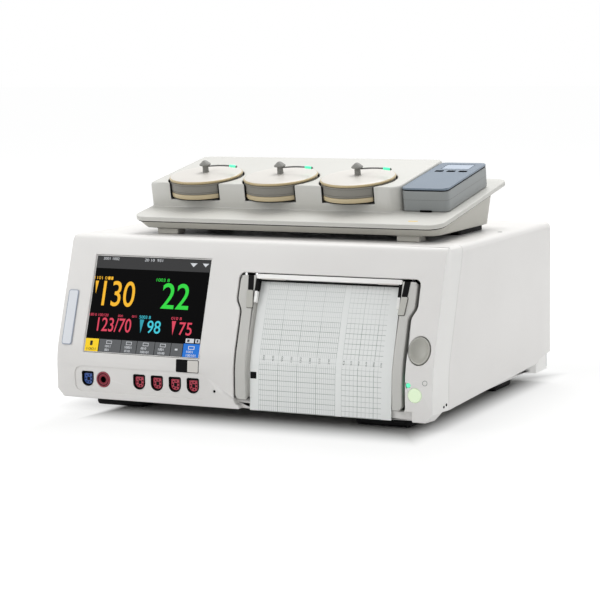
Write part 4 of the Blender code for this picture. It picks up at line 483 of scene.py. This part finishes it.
# each number: its light, text, left, low, right, top, and how much bolder it is
numbers = [
    ("lit_orange", "130", -54.0, -2.2, -16.4, 24.0, 0.004), ("lit_green", "22", 15.2, -2.0, 46.8, 24.2, 0.006),
    ("lit_red", "123/70", -55, -28.4, -15.5, -14.2, 0.006), ("lit_cyan", "98", 3.2, -27.8, 18.6, -14.8, 0.006),
    ("lit_red", "75", 39.8, -27.8, 54.4, -14.8, 0.006), ("lit_white", "3001 1002", -58.7, 45.6, -40.1, 48.3, 0.0),
    ("lit_white", "20 10  931", -10.2, 45.5, 10.8, 48.3, 0.0), ("lit_orange", "1101 0", -66, 25.0, -51.2, 28.2, 0.0),
    ("lit_green", "1003 8", 6.6, 25.4, 21.6, 28.6, 0.0), ("lit_red", "180 0 100120", -66, -13.0, -43.6, -10.2, 0.0),
    ("lit_red", "000", -32.2, -12.9, -26.6, -10.6, 0.0), ("lit_red", "0011", -16, -12.7, -10.4, -10.4, 0.0),
    ("lit_cyan", "5003 8", -7.2, -13.3, 5.8, -10.1, 0.0), ("lit_red", "010 8", 29.6, -12.7, 41.4, -9.8, 0.0),
    ("lit_black", "1001", -63.6, -48.2, -53.2, -45.6, 0.0), ("lit_black", "1", -60.4, -43.4, -57.4, -38.6, 0.0),
]
for x, words in ((-42.4, ("1011", "001")), (-19.2, ("10001", "0110")), (-0.6, ("0010", "100101")),
                 (19.4, ("1001", "10100"))):
    numbers += [("lit_white", word, x, -44.6 - 3.7 * row, x + 1.55 * len(word), -42.2 - 3.7 * row, 0.01)
                for row, word in enumerate(words)]
numbers += [("lit_white", word, 51.6, -45.2 - 3.6 * row, 51.6 + 1.8 * len(word), -42.8 - 3.6 * row, 0.01)
            for row, word in enumerate(("1001", "100101"))]
# each wedge: its light, left, right, flat side and point
wedges = [
    ("lit_orange", -64.6, -60.2, 23.4, 10), ("lit_teal", -6.6, -0.9, -14.2, -28.2),
    ("lit_red", 30.4, 35.8, -14, -28.2), ("lit_white", 42.0, 51.3, 45.6, 41.6), ("lit_white", 56.0, 64.5, 45.6, 42),
]
parts = []
for light, x0, y0, x1, y1, level in panes:
    base = (screen["lift"] + screen["layer"] * level) * mm
    pane = slab((x0 * mm, y0 * mm, base), (x1 * mm, y1 * mm, base + screen["layer"] * mm), place=screenFrame)
    parts.append((glowNames.index(light), pane))
for light, text, x0, y0, x1, y1, bold in numbers:
    number = figures(text, (x0 * mm, y0 * mm), (x1 * mm, y1 * mm), textFrame, bold)
    parts.append((glowNames.index(light), number))
for light, x0, x1, y0, y1 in wedges:
    # a triangle in a circle of radius 1 is 1.5 tall, and its middle is a third of that from its flat side
    wedge = bmesh.new()
    bmesh.ops.create_circle(wedge, cap_ends=True, radius=1.0, segments=3)
    wedge.transform(turned(math.pi, "Z"))
    middle = at((x0 + x1) * mm / 2, (y0 + y1) * mm / 2 + (y0 - y1) * mm / 6, screen["textLift"] * mm)
    wedge.transform(middle @ Matrix.Diagonal(((x1 - x0) * mm / 2, (y0 - y1) * mm / 1.5, 1, 1)))
    bmesh.ops.solidify(wedge, geom=wedge.faces[:], thickness=screen["layer"] * mm)
    wedge.transform(screenFrame)
    parts.append((glowNames.index(light), wedge))
addPiece("lit_picture", joined(parts), glowNames, "monitor")
line = screen["line"]
wide, tall = screen["width"] / 2 + screen["margin"], screen["height"] / 2 + screen["margin"]
rails = []
for x0, y0, x1, y1 in ((-wide, -tall, wide, line - tall), (-wide, tall - line, wide, tall),
                       (-wide, line - tall, line - wide, tall - line), (wide - line, line - tall, wide, tall - line)):
    rail = slab((x0 * mm, y0 * mm, 0), (x1 * mm, y1 * mm, screen["lineHigh"] * mm), place=screenFrame)
    rails.append((0, rail))
addPiece("screen_line", joined(rails), "body_white", "monitor")
print("screen")

# plain plates: one beside the screen, one on the bend below it
plate = {"place": (-0.1961, 0.0217), "width": 0.0116, "length": 0.057, "border": 0.0008, "edge": 0.0002}
plateFrame = faceFrame @ at(*plate["place"])
inner = (plate["width"] - 2 * plate["border"], plate["length"] - 2 * plate["border"])
plateShape = joined([(0, pad(plate["width"], plate["length"], 0.0003, 0.0012, 0.0023, plateFrame)),
                     (1, pad(*inner, 0.0011, 0.0014, 0.0018, plateFrame))])
addPiece("bare_plate", plateShape, ["plate_blue", "plate_pale"], "monitor", ["name_plate"], plate["edge"])
badgeFrame = onBend(-0.0548, 0.0209)
badge = joined([(0, pad(0.0256, 0.0128, -0.0006, 0.00006, 0.0012, badgeFrame)),
                (0, slab((-0.0122, -0.0058, -0.0002), (-0.0004, 0.0058, 0.00012), 0.0008, badgeFrame)),
                (1, slab((0.0002, -0.0058, -0.0002), (0.0122, 0.0058, 0.00014), 0.0008, badgeFrame))])
addPiece("bare_badge", badge, ["black_ink_and_shade", "lid_white"], "monitor")
ring = spun([(0.0021, -0.0001), (0.0025, -0.0001), (0.0025, 0.00008), (0.0021, 0.00008), (0.0021, -0.0001)],
            onBend(0.1990, 0.0222), 40)
addPiece("standby_ring", ring, "ink", "monitor", turn=50)
# the reset hole: a black disc sunk in it, a painted shade for its depth
addPiece("reset_hole", disc(0.0013, 0.0, 0.0003, frontFrame @ at(-0.0249, 0.026, -0.0008), 24), "black_ink_and_shade", "monitor",
         turn=50)

# sensor sockets: a black shell, a coloured insert, and a dark well with pins; the pin holes and the key slot are black
# pieces, a painted shade for their depth
socket = {"width": 0.0133, "height": 0.0148, "level": 0.0299, "front": 0.0007, "deep": 0.0129,
          "lips": ((0.0003, 0.00025), (0.0007, 0.0), (0.00015, -0.0046)),
          "insert": ((-0.0050, -0.0056, -0.0044), (0.0050, 0.0052, -0.0021)),
          "keyway": ((-0.0017, -0.0022, -0.0023), (0.0017, 0.0016, -0.0020)),
          "pins": 7, "pinRadius": 0.0008, "pinRing": (0.0034, 0.0037), "pinMiddle": -0.0003, "pinLevel": -0.0021}


def plugSocket(x):
    # one socket: its face looks out of the front, with x along the row
    wide, tall = socket["width"] / 2, socket["height"] / 2
    shell = shield((-wide, -tall, -socket["deep"]), (wide, tall, 0), 0.0062, 0.0013)
    mouth = [f for f in shell.faces if f.normal.z > 0.9]
    for thickness, depth in socket["lips"]:
        bmesh.ops.inset_region(shell, faces=mouth, thickness=thickness, depth=depth, use_even_offset=True)
    # the key slot slab and the pin discs are black: painted shade for holes
    parts = [(0, shell), (1, shield(*socket["insert"], 0.0044, 0.0009)), (0, slab(*socket["keyway"], 0.0006))]
    across, upward = socket["pinRing"]
    for i in range(socket["pins"]):
        angle = math.tau * (i + 0.5) / socket["pins"]
        spot = at(across * math.cos(angle), socket["pinMiddle"] + upward * math.sin(angle), socket["pinLevel"])
        parts.append((0, disc(socket["pinRadius"], -0.0002, 0.00015, spot, 10)))
    whole = joined(parts)
    whole.transform(frontFrame @ at(x, socket["level"], -socket["front"]))
    return whole


socketRows = {"blue_plug_socket": ("blue_socket", "socket_blue", [-0.1711]),
              "red_plug_sockets": ("fetal_sockets", "socket_red", [-0.1108, -0.0903, -0.0698, -0.0493])}
for name, (node, colorName, places) in socketRows.items():
    row = joined([(None, plugSocket(x)) for x in places])
    addPiece(name, row, ["black_ink_and_shade", colorName], "monitor", [node])
roundSocket = {"place": (-0.1527, 0.0299, -0.0007), "well": 0.0031, "redFrom": 0.0056, "redTo": 0.0064}
roundPlace = frontFrame @ at(*roundSocket["place"])
ring = spun([(0, -0.0129), (0.0079, -0.0129), (0.0079, -0.0006), (0.0076, 0), (0.0064, 0), (0.0062, -0.0006),
             (0.0056, -0.0006), (0.0054, -0.0001), (0.0045, -0.0001), (0.0043, -0.0006), (0.0036, -0.0006),
             (0.0033, -0.0002), (0.0031, -0.0006), (0.0031, -0.0064), (0, -0.0064)], roundPlace)
for face in ring.faces:
    middle = roundPlace.inverted() @ face.calc_center_median()
    radius = middle.xy.length
    groove = roundSocket["redFrom"] < radius < roundSocket["redTo"] and middle.z > -0.001
    face.material_index = 1 if radius < roundSocket["well"] or groove else 0
addPiece("round_plug_socket", ring, ["socket_maroon", "black_ink_and_shade"], "monitor", ["round_socket"], turn=40)
print("sockets")

# recorder controls: the eject cap's radii are shares of its half width and half height
eject = {"place": (0.191, 0.008), "width": 0.0211, "height": 0.0266}
dish = spun([(0, -0.0036), (0.25, -0.0035), (0.5, -0.0031), (0.66, -0.0023), (0.78, -0.0011), (0.87, 0.0004),
             (0.915, 0.0010), (0.945, 0.0012), (0.965, 0.0011), (0.985, 0.0006), (0.99, -0.0002), (0.99, -0.0060),
             (0, -0.0060)], faceFrame @ at(*eject["place"]), 96, (eject["width"] / 2, eject["height"] / 2, 1))
addPiece("eject_cap", dish, "button_grey", "eject", ["eject_button"], turn=50)
cap = spun([(0, 0.0002), (0.0042, 0.0003), (0.0058, 0.0003), (0.0064, 0.0001), (0.00675, -0.0004), (0.00675, -0.0030),
            (0, -0.0030)], frontFrame @ at(0.1887, 0.0358), 64)
addPiece("power_cap", cap, "pale_green", "power", ["power_button"], turn=50)
lamp = spun([(0, 0.0003), (0.0010, 0.00022), (0.0016, 0.0), (0.0019, -0.0004), (0.0019, -0.0088), (0, -0.0088)],
            frontFrame @ at(0.182, 0.0450), 40)
addPiece("lamp_lens", lamp, "green_lamp", "monitor", ["status_lamp"], turn=50)
print("controls")

# recorder door: arms a little narrower than their doorway, so that a dark gap shows
door = {"edge": 0.0012, "middle": 0.0875, "outer": 0.084, "gap": 0.0016, "topFrom": 0.0735, "drop": 0.0007,
        "trayEdge": 0.0006}
arms = cadShape("door_frame")
for vert in arms.verts:
    if vert.co.x > door["middle"] + door["outer"]:
        vert.co.x -= door["gap"]
    if (faceFrame.inverted() @ vert.co).y > door["topFrom"]:
        vert.co -= uphill * door["drop"]
addPiece("door_arms", arms, "arm_grey", "door", ["door_frame"], door["edge"])
addPiece("tray_moulding", cadShape("paper_tray"), "body_white", "door", ["paper_tray"], door["trayEdge"])
pivot = {"left": 0.0097, "right": 0.1653, "lean": 0.10, "leanFrom": 0.0500, "edge": 0.0005,
         "tab": ((0.0002, 0.0408, 0.00005), (0.0070, 0.0584, 0.0015), 0.0012),
         "well": ((0.0002, 0.0588, 0.00005), (0.0062, 0.0735, 0.0004), 0.0009),
         "border": ((-0.0001, 0.0404, 0.00003), (0.0074, 0.0588, 0.0002), 0.0014)}
for side, outwards in (("left", -1), ("right", 1)):
    place = faceFrame @ at(pivot[side], 0) @ Matrix.Diagonal((outwards, 1, 1, 1))
    tab, well, border = (slab(*pivot[key]) for key in ("tab", "well", "border"))
    for shape in (tab, well, border):
        for vert in shape.verts:
            vert.co.x += (vert.co.y - pivot["leanFrom"]) * pivot["lean"]
        shape.transform(place)
    addPiece(f"pivot_cover_{side}", tab, "button_grey", "door", edge=pivot["edge"])
    addPiece(f"pivot_well_{side}", joined([(0, well), (0, border)]), "black_ink_and_shade", "door")

# clear guide: a bar with two pale lips and a dark line below it that is a painted shadow, and legs that are dark above
# and clear below
guide = {"left": 0.0100, "right": 0.1650, "low": 0.0704, "high": 0.0751, "leg": 0.0030, "legTop": 0.0580,
         "foot": 0.0466, "deep": 0.0040, "front": -0.0002, "edge": 0.0003}
left, right, deep = guide["left"], guide["right"], -guide["deep"]
parts = [(0, slab((left, guide["low"], deep), (right, guide["high"], 0.0), 0.0012, faceFrame))]
for x0, x1 in ((left, left + guide["leg"]), (right - guide["leg"], right)):
    for number, low, high in ((2, guide["legTop"], guide["low"] + 0.001), (0, guide["foot"], guide["legTop"] + 0.0001)):
        parts.append((number, slab((x0, low, deep), (x1, high, guide["front"]), 0.0008, faceFrame)))
for x0, x1 in ((0.0155, 0.0410), (0.1392, 0.1600)):
    lip = slab((x0, guide["low"] - 0.0004, -0.0030), (x1, guide["low"] + 0.0007, 0.0003), 0.0004, faceFrame)
    parts.append((1, lip))
# the dark strip under the bar: painted shadow
parts.append((2, slab((left + 0.0034, 0.0692, -0.0042), (right - 0.0034, 0.0701, -0.0030), place=faceFrame)))
addPiece("guide_bar", joined(parts), ["clear_acrylic", "lid_white", "black_ink_and_shade"], "guide", ["paper_guide"],
         guide["edge"])

# chart paper: the grid follows the sheet through its UV map, x across it and y the length up it
chart = {"left": 0.01225, "bendLow": 0.041, "depth": 0.0057, "radius": 0.0843, "topFrom": 0.1230, "topUp": 0.0042}
bendMiddle = Vector((planes["front"] + chart["depth"] + chart["radius"], chart["bendLow"]))


def alongSheet(co):
    # how far up the sheet a point is, measured along its upright part, its bend and its slope
    angle = math.atan2(co.z - bendMiddle[1], bendMiddle[0] - co.y)
    if angle <= 0:
        return co.z
    radius = chart["radius"]
    bendTop = bendMiddle + Vector((-math.cos(slopeTilt), math.sin(slopeTilt))) * radius
    rest = (Vector((co.y, co.z)) - bendTop).length if angle > slopeTilt else 0.0
    return chart["bendLow"] + radius * min(angle, slopeTilt) + rest


def sheetFrame(x, along):
    # a frame on the sheet's front, its y up the sheet
    radius, rise = chart["radius"], along - chart["bendLow"]
    angle = max(0.0, min(rise / radius, slopeTilt))
    start = at(x, planes["front"] + chart["depth"], chart["bendLow"]) @ turned(math.pi / 2)
    return start @ at(0, 0, -radius) @ turned(-angle) @ at(0, 0, radius) @ at(0, rise - angle * radius)


def ruled(value, pitch, wide):
    # lines of one width at one pitch
    return abs(value % pitch - pitch / 2) > (pitch - wide) / 2


def between(value, low, high):
    return (value > low) * (value < high)


# the printed fields, each from, to, and the steps of its fine and strong uprights; and where the print pales
grid = {"left": (0.0096, 0.0917, 0.00205, 0.0205), "right": (0.0983, 0.1400, 0.0042, 0.0167),
        "scale": (0.0575, 0.0655), "scaleFade": 0.55, "topFrom": 0.1000, "topFade": 0.45}


def chartGrid():
    material, shader = newMaterial("chart_grid")
    both = shader.add("ShaderNodeUVMap", {"uv_map": "sheet"})
    across, along = (shader.add("ShaderNodeSeparateXYZ", {}, {0: both}, i) for i in (0, 1))
    place = shader.add("ShaderNodeTexCoord", output="Object")
    fibre = shader.add("ShaderNodeTexNoise", {}, {"Vector": place, "Scale": 1800.0, "Detail": 4.0})

    def field(low, high, fine, strong):
        # fine and strong uprights, and a level line every 5 mm
        uprights = ruled(across - low, fine, 0.00034) * 0.56 + ruled(across - low, strong, 0.00046) * 0.5
        levels = ruled(along, 0.005, 0.00036) * 0.58 + ruled(along, 0.010, 0.0005) * 0.3
        blank = 1.0 - between(along, *grid["scale"]) * grid["scaleFade"]
        return uprights.either(levels) * between(across, low, high) * blank

    printed = field(*grid["left"]) + field(*grid["right"])
    faded = (printed * (0.62 + 0.5 * fibre) * (1.0 - (along > grid["topFrom"]) * grid["topFade"])).held()
    paper = shader.add("ShaderNodeMix", {"data_type": "RGBA"},
                       {0: (fibre - 0.2).held() * 0.2, 6: tone(240, 242, 240), 7: tone(228, 231, 229)}, 2)
    color = shader.add("ShaderNodeMix", {"data_type": "RGBA"}, {0: faded, 6: paper, 7: tone(104, 120, 112)}, 2)
    bump = shader.add("ShaderNodeBump", {}, {"Height": fibre, "Strength": 0.3, "Distance": 0.00004})
    shader.finish({"Base Color": color, "Roughness": (0.55 + 0.2 * fibre).held(), "Normal": bump})
    return material


materials["chart_grid"] = chartGrid()
sheet = cadShape("paper_sheet")
for vert in sheet.verts:
    if vert.co.z > chart["topFrom"]:
        vert.co += uphill * chart["topUp"]
bmesh.ops.triangulate(sheet, faces=sheet.faces)
layer = sheet.loops.layers.uv.new("sheet")
for face in sheet.faces:
    for loop in face.loops:
        loop[layer].uv = (loop.vert.co.x - chart["left"], alongSheet(loop.vert.co))
addPiece("chart_sheet", sheet, "chart_grid", "door", ["paper_sheet"])
# each scale: its step, the first number in steps, how many, where they start, their pitch and half their size
scales = ((30, 1, 8, 0.0142, 0.0100, (0.0026, 0.0009)), (20, 0, 6, 0.1000, 0.0078, (0.0022, 0.0008)))
marks = []
for step, first, count, start, pitch, (wide, tall) in scales:
    for i in range(count):
        place = sheetFrame(chart["left"] + start + pitch * i, 0.0615) @ turned(math.pi / 2, "Z")
        marks.append((0, figures(f"{step * (first + i)}", (-wide, -tall), (wide, tall), place)))
marks.append((1, pad(0.0066, 0.0066, 0.0, 0.00006, place=sheetFrame(chart["left"] + 0.0037, 0.0440))))
addPiece("chart_marks", joined(marks), ["ink", "black_ink_and_shade"], "door")
print("door")

# dock: a plate with a grooved rim, a lower tray whose underside is painted black as shade, and black liners in the
# pockets as a painted shade for the gap round each transducer
dock = {"edge": 0.0011, "trayEdge": 0.0010, "groove": 0.0013, "grooveDeep": 0.0004, "thick": 0.0047,
        "blockTop": 0.0258, "leftRidge": (-0.1482, 0.0034), "rightRidge": (0.1160, 0.0020), "paintedShadeFrom": 0.1750,
        "skidEdge": 0.0006}
plate = cadShape("dock_top", whole=lambda face: face.normal.z > -0.5)
toDock = dockFrame.inverted()
rim = [f for f in plate.faces if abs(f.normal.dot(offDock)) < 0.05
       and abs((toDock @ f.calc_center_median()).z + dock["thick"] / 2) < 0.0006]
bmesh.ops.inset_region(plate, faces=rim, thickness=dock["groove"], depth=-dock["grooveDeep"], use_even_offset=True)
for side, (beyond, radius) in ((-1, dock["leftRidge"]), (1, dock["rightRidge"])):
    # the block's top edges at this end
    onRidge = {v for v in plate.verts if abs((toDock @ v.co).z - dock["blockTop"]) < 0.0002
               and (toDock @ v.co).x * side > beyond * side}
    ridge = [e for e in plate.edges if e.calc_face_angle(0.0) > 0.5 and onRidge.issuperset(e.verts)]
    bmesh.ops.bevel(plate, geom=ridge, offset=radius, segments=5, profile=0.5, affect="EDGES", material=-1,
                    clamp_overlap=False)
addPiece("dock_plate", plate, "dock_grey", "dock", ["dock_top"], dock["edge"])
tray = cadShape("dock_base")
# the tray's underside, in the gap above the cover, is black: painted shade
for face in tray.faces:
    face.material_index = 1 if face.normal.z < -0.9 and face.calc_center_median().z > dock["paintedShadeFrom"] else 0
addPiece("dock_tray", tray, ["tray_grey", "black_ink_and_shade"], "dock", ["dock_base"], dock["trayEdge"])
seam = slab((-0.1521, 0.0019, -0.0057), (0.1876, 0.1552, -0.00475), 0.0141, dockFrame)
addPiece("dock_seam", seam, "black_ink_and_shade", "dock")
probe = {"places": (-0.100, -0.013, 0.074), "back": 0.0715, "steps": 96}
shadeLiner = {"inner": 0.0394, "outer": 0.0398, "low": 0.0083, "high": 0.0252, "cutFront": 0.0436}
# black rings in the pockets: a painted shade for the gap round each transducer
for number, x in enumerate(probe["places"], 1):
    wall = [(shadeLiner[radius], shadeLiner[height]) for radius, height in
            (("inner", "low"), ("outer", "low"), ("outer", "high"), ("inner", "high"), ("inner", "low"))]
    shape = spun(wall, at(x, probe["back"]), probe["steps"])
    cutAcross(shape, (0, shadeLiner["cutFront"], 0), (0, -1, 0), clear_outer=True)
    bmesh.ops.holes_fill(shape, edges=[e for e in shape.edges if e.is_boundary], sides=0)
    shape.transform(dockFrame)
    addPiece(f"pocket_shade_liner_{number}", shape, "black_ink_and_shade", "dock", turn=50)
skid = slab((0.1640, -0.0080, 0.1722), (0.1755, 0.0540, 0.1795), 0.0030)
addPiece("dock_skid", skid, "black_rubber", "dock", edge=dock["skidEdge"])
addPiece("dock_lamp", pad(0.0100, 0.0032, -0.0002, 0.00012, 0.0012, dockFrame @ at(0.156, 0.013)), "amber_lamp", "dock")
print("dock")

# cordless transducers: profiles of radius and height above the plate
shellProfile = [(0, 0.0083), (0.0335, 0.0083), (0.0362, 0.0090), (0.0376, 0.0104), (0.0380, 0.0122), (0.0380, 0.0148),
                (0.0377, 0.0150), (0, 0.0150)]
bandProfile = [(0, 0.0153), (0.0376, 0.0153), (0.0379, 0.0156), (0.0380, 0.0170), (0.0377, 0.0172), (0.0377, 0.0176),
               (0.0380, 0.0178), (0.0380, 0.0240), (0.0377, 0.0242), (0.0377, 0.0246), (0.0380, 0.0248),
               (0.0379, 0.0258), (0.0375, 0.0260), (0, 0.0260)]
lidProfile = [(0, 0.0263), (0.0374, 0.0263), (0.0382, 0.0266), (0.0385, 0.0273), (0.0385, 0.0279), (0.0382, 0.0285),
              (0.0374, 0.0289), (0.0340, 0.0295), (0.0280, 0.0301), (0.0200, 0.0306), (0.0110, 0.0309), (0, 0.0310)]
knobProfile = [(0, 0.0313), (0.0035, 0.0313), (0.0032, 0.0320), (0.0030, 0.0383), (0.0056, 0.0383), (0.0060, 0.0386),
               (0.0060, 0.0393), (0.0056, 0.0398), (0.0022, 0.0429), (0.0012, 0.0433), (0, 0.0433)]
aerialProfile = [(0, 0.0035), (0.0007, 0.0036), (0.0008, 0.0100), (0.0008, 0.0160), (0.0008, 0.0220), (0.0008, 0.0285),
                 (0.0013, 0.0290), (0.0014, 0.0296), (0.0014, 0.0362), (0.0009, 0.0368), (0.0006, 0.0375), (0, 0.0375)]
aerial = {"level": 0.0372, "start": 0.0035, "long": 0.034, "arch": 0.0010, "litFrom": 0.0285, "litTo": 0.0355}


def finishFrom(shape, place, low, high=math.inf):
    # the second finish where a face's middle lies between two heights of its frame
    for face in shape.faces:
        face.material_index = 1 if low < (place.inverted() @ face.calc_center_median()).z < high else 0


for number, x in enumerate(probe["places"], 1):
    body = f"transducer_{number}"
    place = dockFrame @ at(x, probe["back"])
    shell, band, lid = (spun(profile, place, probe["steps"]) for profile in (shellProfile, bandProfile, lidProfile))
    # the shell's foot is black: a painted shadow under its overhang
    finishFrom(shell, place, -math.inf, 0.0098)
    addPiece(f"probe_{number}_shell", shell, ["cream", "black_ink_and_shade"], body, [f"transducer_{number}_shell"], turn=50)
    addPiece(f"probe_{number}_band", band, "band_grey", body, [f"transducer_{number}_band"], turn=50)
    # the lid's lower rim takes the darker cream, a painted shade; its top keeps the lid's white
    finishFrom(lid, place, 0.0291)
    addPiece(f"probe_{number}_lid", lid, ["cream_painted_shade", "lid_white"], body, [f"transducer_{number}_cap"], turn=50)
    knob = spun(knobProfile, place, 48)
    addPiece(f"probe_{number}_knob", knob, "knob_grey", body, [f"belt_knob_{number}"], 0.0002, turn=40)
    wirePlace = place @ at(0, 0, aerial["level"]) @ turned(math.pi / 2, "Y")
    wire = spun(aerialProfile, wirePlace, 24)
    finishFrom(wire, wirePlace, aerial["litFrom"], aerial["litTo"])
    for vert in wire.verts:
        along = (wirePlace.inverted() @ vert.co).z
        vert.co += offDock * (aerial["arch"] * math.sin(math.pi * (along - aerial["start"]) / aerial["long"]))
    addPiece(f"probe_{number}_aerial", wire, ["wire_grey", "green_lamp"], body, [f"aerial_{number}"], turn=50)
print("transducers")

# handset
handset = {"left": 0.12945, "right": 0.17895, "front": 0.0489, "rear": 0.1606, "low": 0.0003, "top": 0.0212,
           "corner": 0.0060, "edge": 0.0016, "faceEdge": 0.0007, "keys": (0.1414, 0.1542, 0.1670), "keyRow": 0.1222,
           "window": (0.1542, 0.1421, 0.0234), "keyEdge": 0.0002, "windowEdge": 0.0001}


def handsetSlab(low, high, wider, steps):
    # a slice of the handset's outline, a little wider or narrower than the case
    lowCorner = (handset["left"] - wider, handset["front"] - wider, low)
    highCorner = (handset["right"] + wider, handset["rear"] + wider, high)
    return slab(lowCorner, highCorner, handset["corner"], dockFrame, steps)


case = handsetSlab(handset["low"], handset["top"], 0.0, 10)
roof = [f for f in case.faces if f.normal.dot(offDock) > 0.9]
for thickness, depth in ((0.0045, 0.0), (0.0006, -0.0034)):
    bmesh.ops.inset_region(case, faces=roof, thickness=thickness, depth=depth, use_even_offset=True)
addPiece("handset_body", case, "case_grey", "handset", ["handset_case"], handset["edge"], segments=5)
addPiece("handset_top", cadShape("handset_face"), "blue_face", "handset", ["handset_face"], handset["faceEdge"])
addPiece("handset_gasket", handsetSlab(0.0211, 0.0220, -0.0002, 8), "black_ink_and_shade", "handset")
addPiece("handset_parting", handsetSlab(0.0118, 0.0121, 0.00008, 8), "wire_grey", "handset")
blacks = [(0, pad(0.0088, 0.0060, 0.0238, 0.02406, 0.0010, dockFrame @ at(x, handset["keyRow"])))
          for x in handset["keys"]]
blacks.append((0, slab((0.1490, 0.0474, 0.0003), (0.1612, 0.0500, 0.0018), place=dockFrame)))
addPiece("handset_blacks", joined(blacks), "key_black", "handset")
window = pad(0.0298, 0.0198, -0.0001, 0.0004, 0.0008, dockFrame @ at(*handset["window"]))
addPiece("handset_window", window, "window_pale", "handset", edge=handset["windowEdge"])
for number in (1, 2, 3):
    node = f"handset_key_{number}"
    addPiece(f"key_top_{number}", cadShape(node), "key_black", f"key_{number}", [node], handset["keyEdge"])
print("handset")

# floor: to the camera, a grey floor that keeps the object's shadow, with a white glow that fades out towards the
# object's footprint as a painted shadow; a plain pale floor to everything else
ground = {"size": 12.0, "right": 0.172, "left": -0.135, "deep": 0.148, "grey": (0.34, 0.34, 0.335, 1),
          "near": (0.003, 0.046, 0.60), "far": (0.04, 0.30, 0.25)}
floorFinish, shader = newMaterial("floor")
place = shader.add("ShaderNodeTexCoord", output="Object")
haze = shader.add("ShaderNodeTexNoise", {}, {"Vector": place, "Scale": 1.5, "Detail": 2.0})
pale = shader.add("ShaderNodeValToRGB", {"stops": [(0.3, (0.80, 0.80, 0.80, 1)), (0.7, (0.82, 0.82, 0.82, 1))]},
                  {"Fac": haze})
diffuse = shader.add("ShaderNodeBsdfDiffuse", {}, {"Color": pale})
shaded = shader.add("ShaderNodeBsdfDiffuse", {}, {"Color": ground["grey"]})
across, along = (shader.add("ShaderNodeSeparateXYZ", {}, {0: place}, i) for i in (0, 1))
# the distance out from the footprint, and the glow that grows with it: a painted shadow round the object
outside = (across - ground["right"]).either((ground["left"] - across) * 3.0).either((abs(along) - ground["deep"]) * 0.6)
near, far = (shader.add("ShaderNodeMapRange", {"interpolation_type": "SMOOTHSTEP"},
                        {0: outside, 1: start, 2: end, 3: 0.0, 4: most})
             for start, end, most in (ground["near"], ground["far"]))
light = shader.add("ShaderNodeEmission", {}, {"Color": (1, 1, 1, 1), "Strength": near + far})
both = shader.add("ShaderNodeAddShader", {}, {0: shaded, 1: light})
mixed = shader.add("ShaderNodeMixShader", {}, {0: shader.seen(), 1: diffuse, 2: both})
shader.add("ShaderNodeOutputMaterial", {}, {"Surface": mixed})
shape = bmesh.new()
bmesh.ops.create_grid(shape, x_segments=2, y_segments=2, size=ground["size"])
floorMesh = bpy.data.meshes.new("floor")
shape.to_mesh(floorMesh)
shape.free()
floorMesh.materials.append(floorFinish)
floor = bpy.data.objects.new("floor", floorMesh)
scene.collection.objects.link(floor)

# the world: white to the camera, and a plain fill for the object
world = bpy.data.worlds.new("studio")
world.use_nodes = True
scene.world = world
shader = Shader(world.node_tree)
fill = shader.add("ShaderNodeBackground", {}, {"Color": (0.98, 0.99, 1.0, 1), "Strength": 0.42})
white = shader.add("ShaderNodeBackground", {}, {"Color": (1, 1, 1, 1), "Strength": 1.0})
mixed = shader.add("ShaderNodeMixShader", {}, {0: shader.seen(), 1: fill, 2: white})
shader.add("ShaderNodeOutputWorld", {}, {"Surface": mixed})

# each lamp: its place, size and power; all of them look at the middle of the monitor
lamps = {"key": ((-1.5, -1.7, 1.5), 1.6, 20.0), "top": ((0.1, 0.8, 2.0), 1.8, 34.0),
         "side": ((2.2, -0.2, 1.3), 1.6, 9.0)}
for name, (spot, size, energy) in lamps.items():
    area = bpy.data.lights.new(name, "AREA")
    area.shape = "DISK"
    area.size = size
    area.energy = energy
    lampObject = bpy.data.objects.new(name, area)
    lampObject.location = spot
    lampObject.rotation_euler = (Vector((0, 0, 0.1)) - Vector(spot)).to_track_quat("-Z", "Y").to_euler()
    scene.collection.objects.link(lampObject)

# camera at the photograph's angle
view = {"azimuth": 26.11, "elevation": 7.42, "roll": -0.82, "distance": 2.10024, "lens": 120.93, "sensor": 36.0,
        "target": (-0.00434, -0.007, 0.09887)}
azimuth, elevation, roll = (math.radians(view[key]) for key in ("azimuth", "elevation", "roll"))
back = Vector((math.sin(azimuth) * math.cos(elevation), -math.cos(azimuth) * math.cos(elevation), math.sin(elevation)))
right = Vector((math.cos(azimuth), math.sin(azimuth), 0))
up = back.cross(right)
rolledRight = right * math.cos(roll) + up * math.sin(roll)
rolledUp = up * math.cos(roll) - right * math.sin(roll)
camera = bpy.data.objects.new("camera", bpy.data.cameras.new("camera"))
camera.data.lens = view["lens"]
camera.data.sensor_width = view["sensor"]
camera.matrix_world = (Matrix.Translation(Vector(view["target"]) + back * view["distance"])
                       @ Matrix((rolledRight, rolledUp, back)).transposed().to_4x4())
scene.collection.objects.link(camera)
scene.camera = camera
scene.view_settings.view_transform = "Standard"
print("stage")
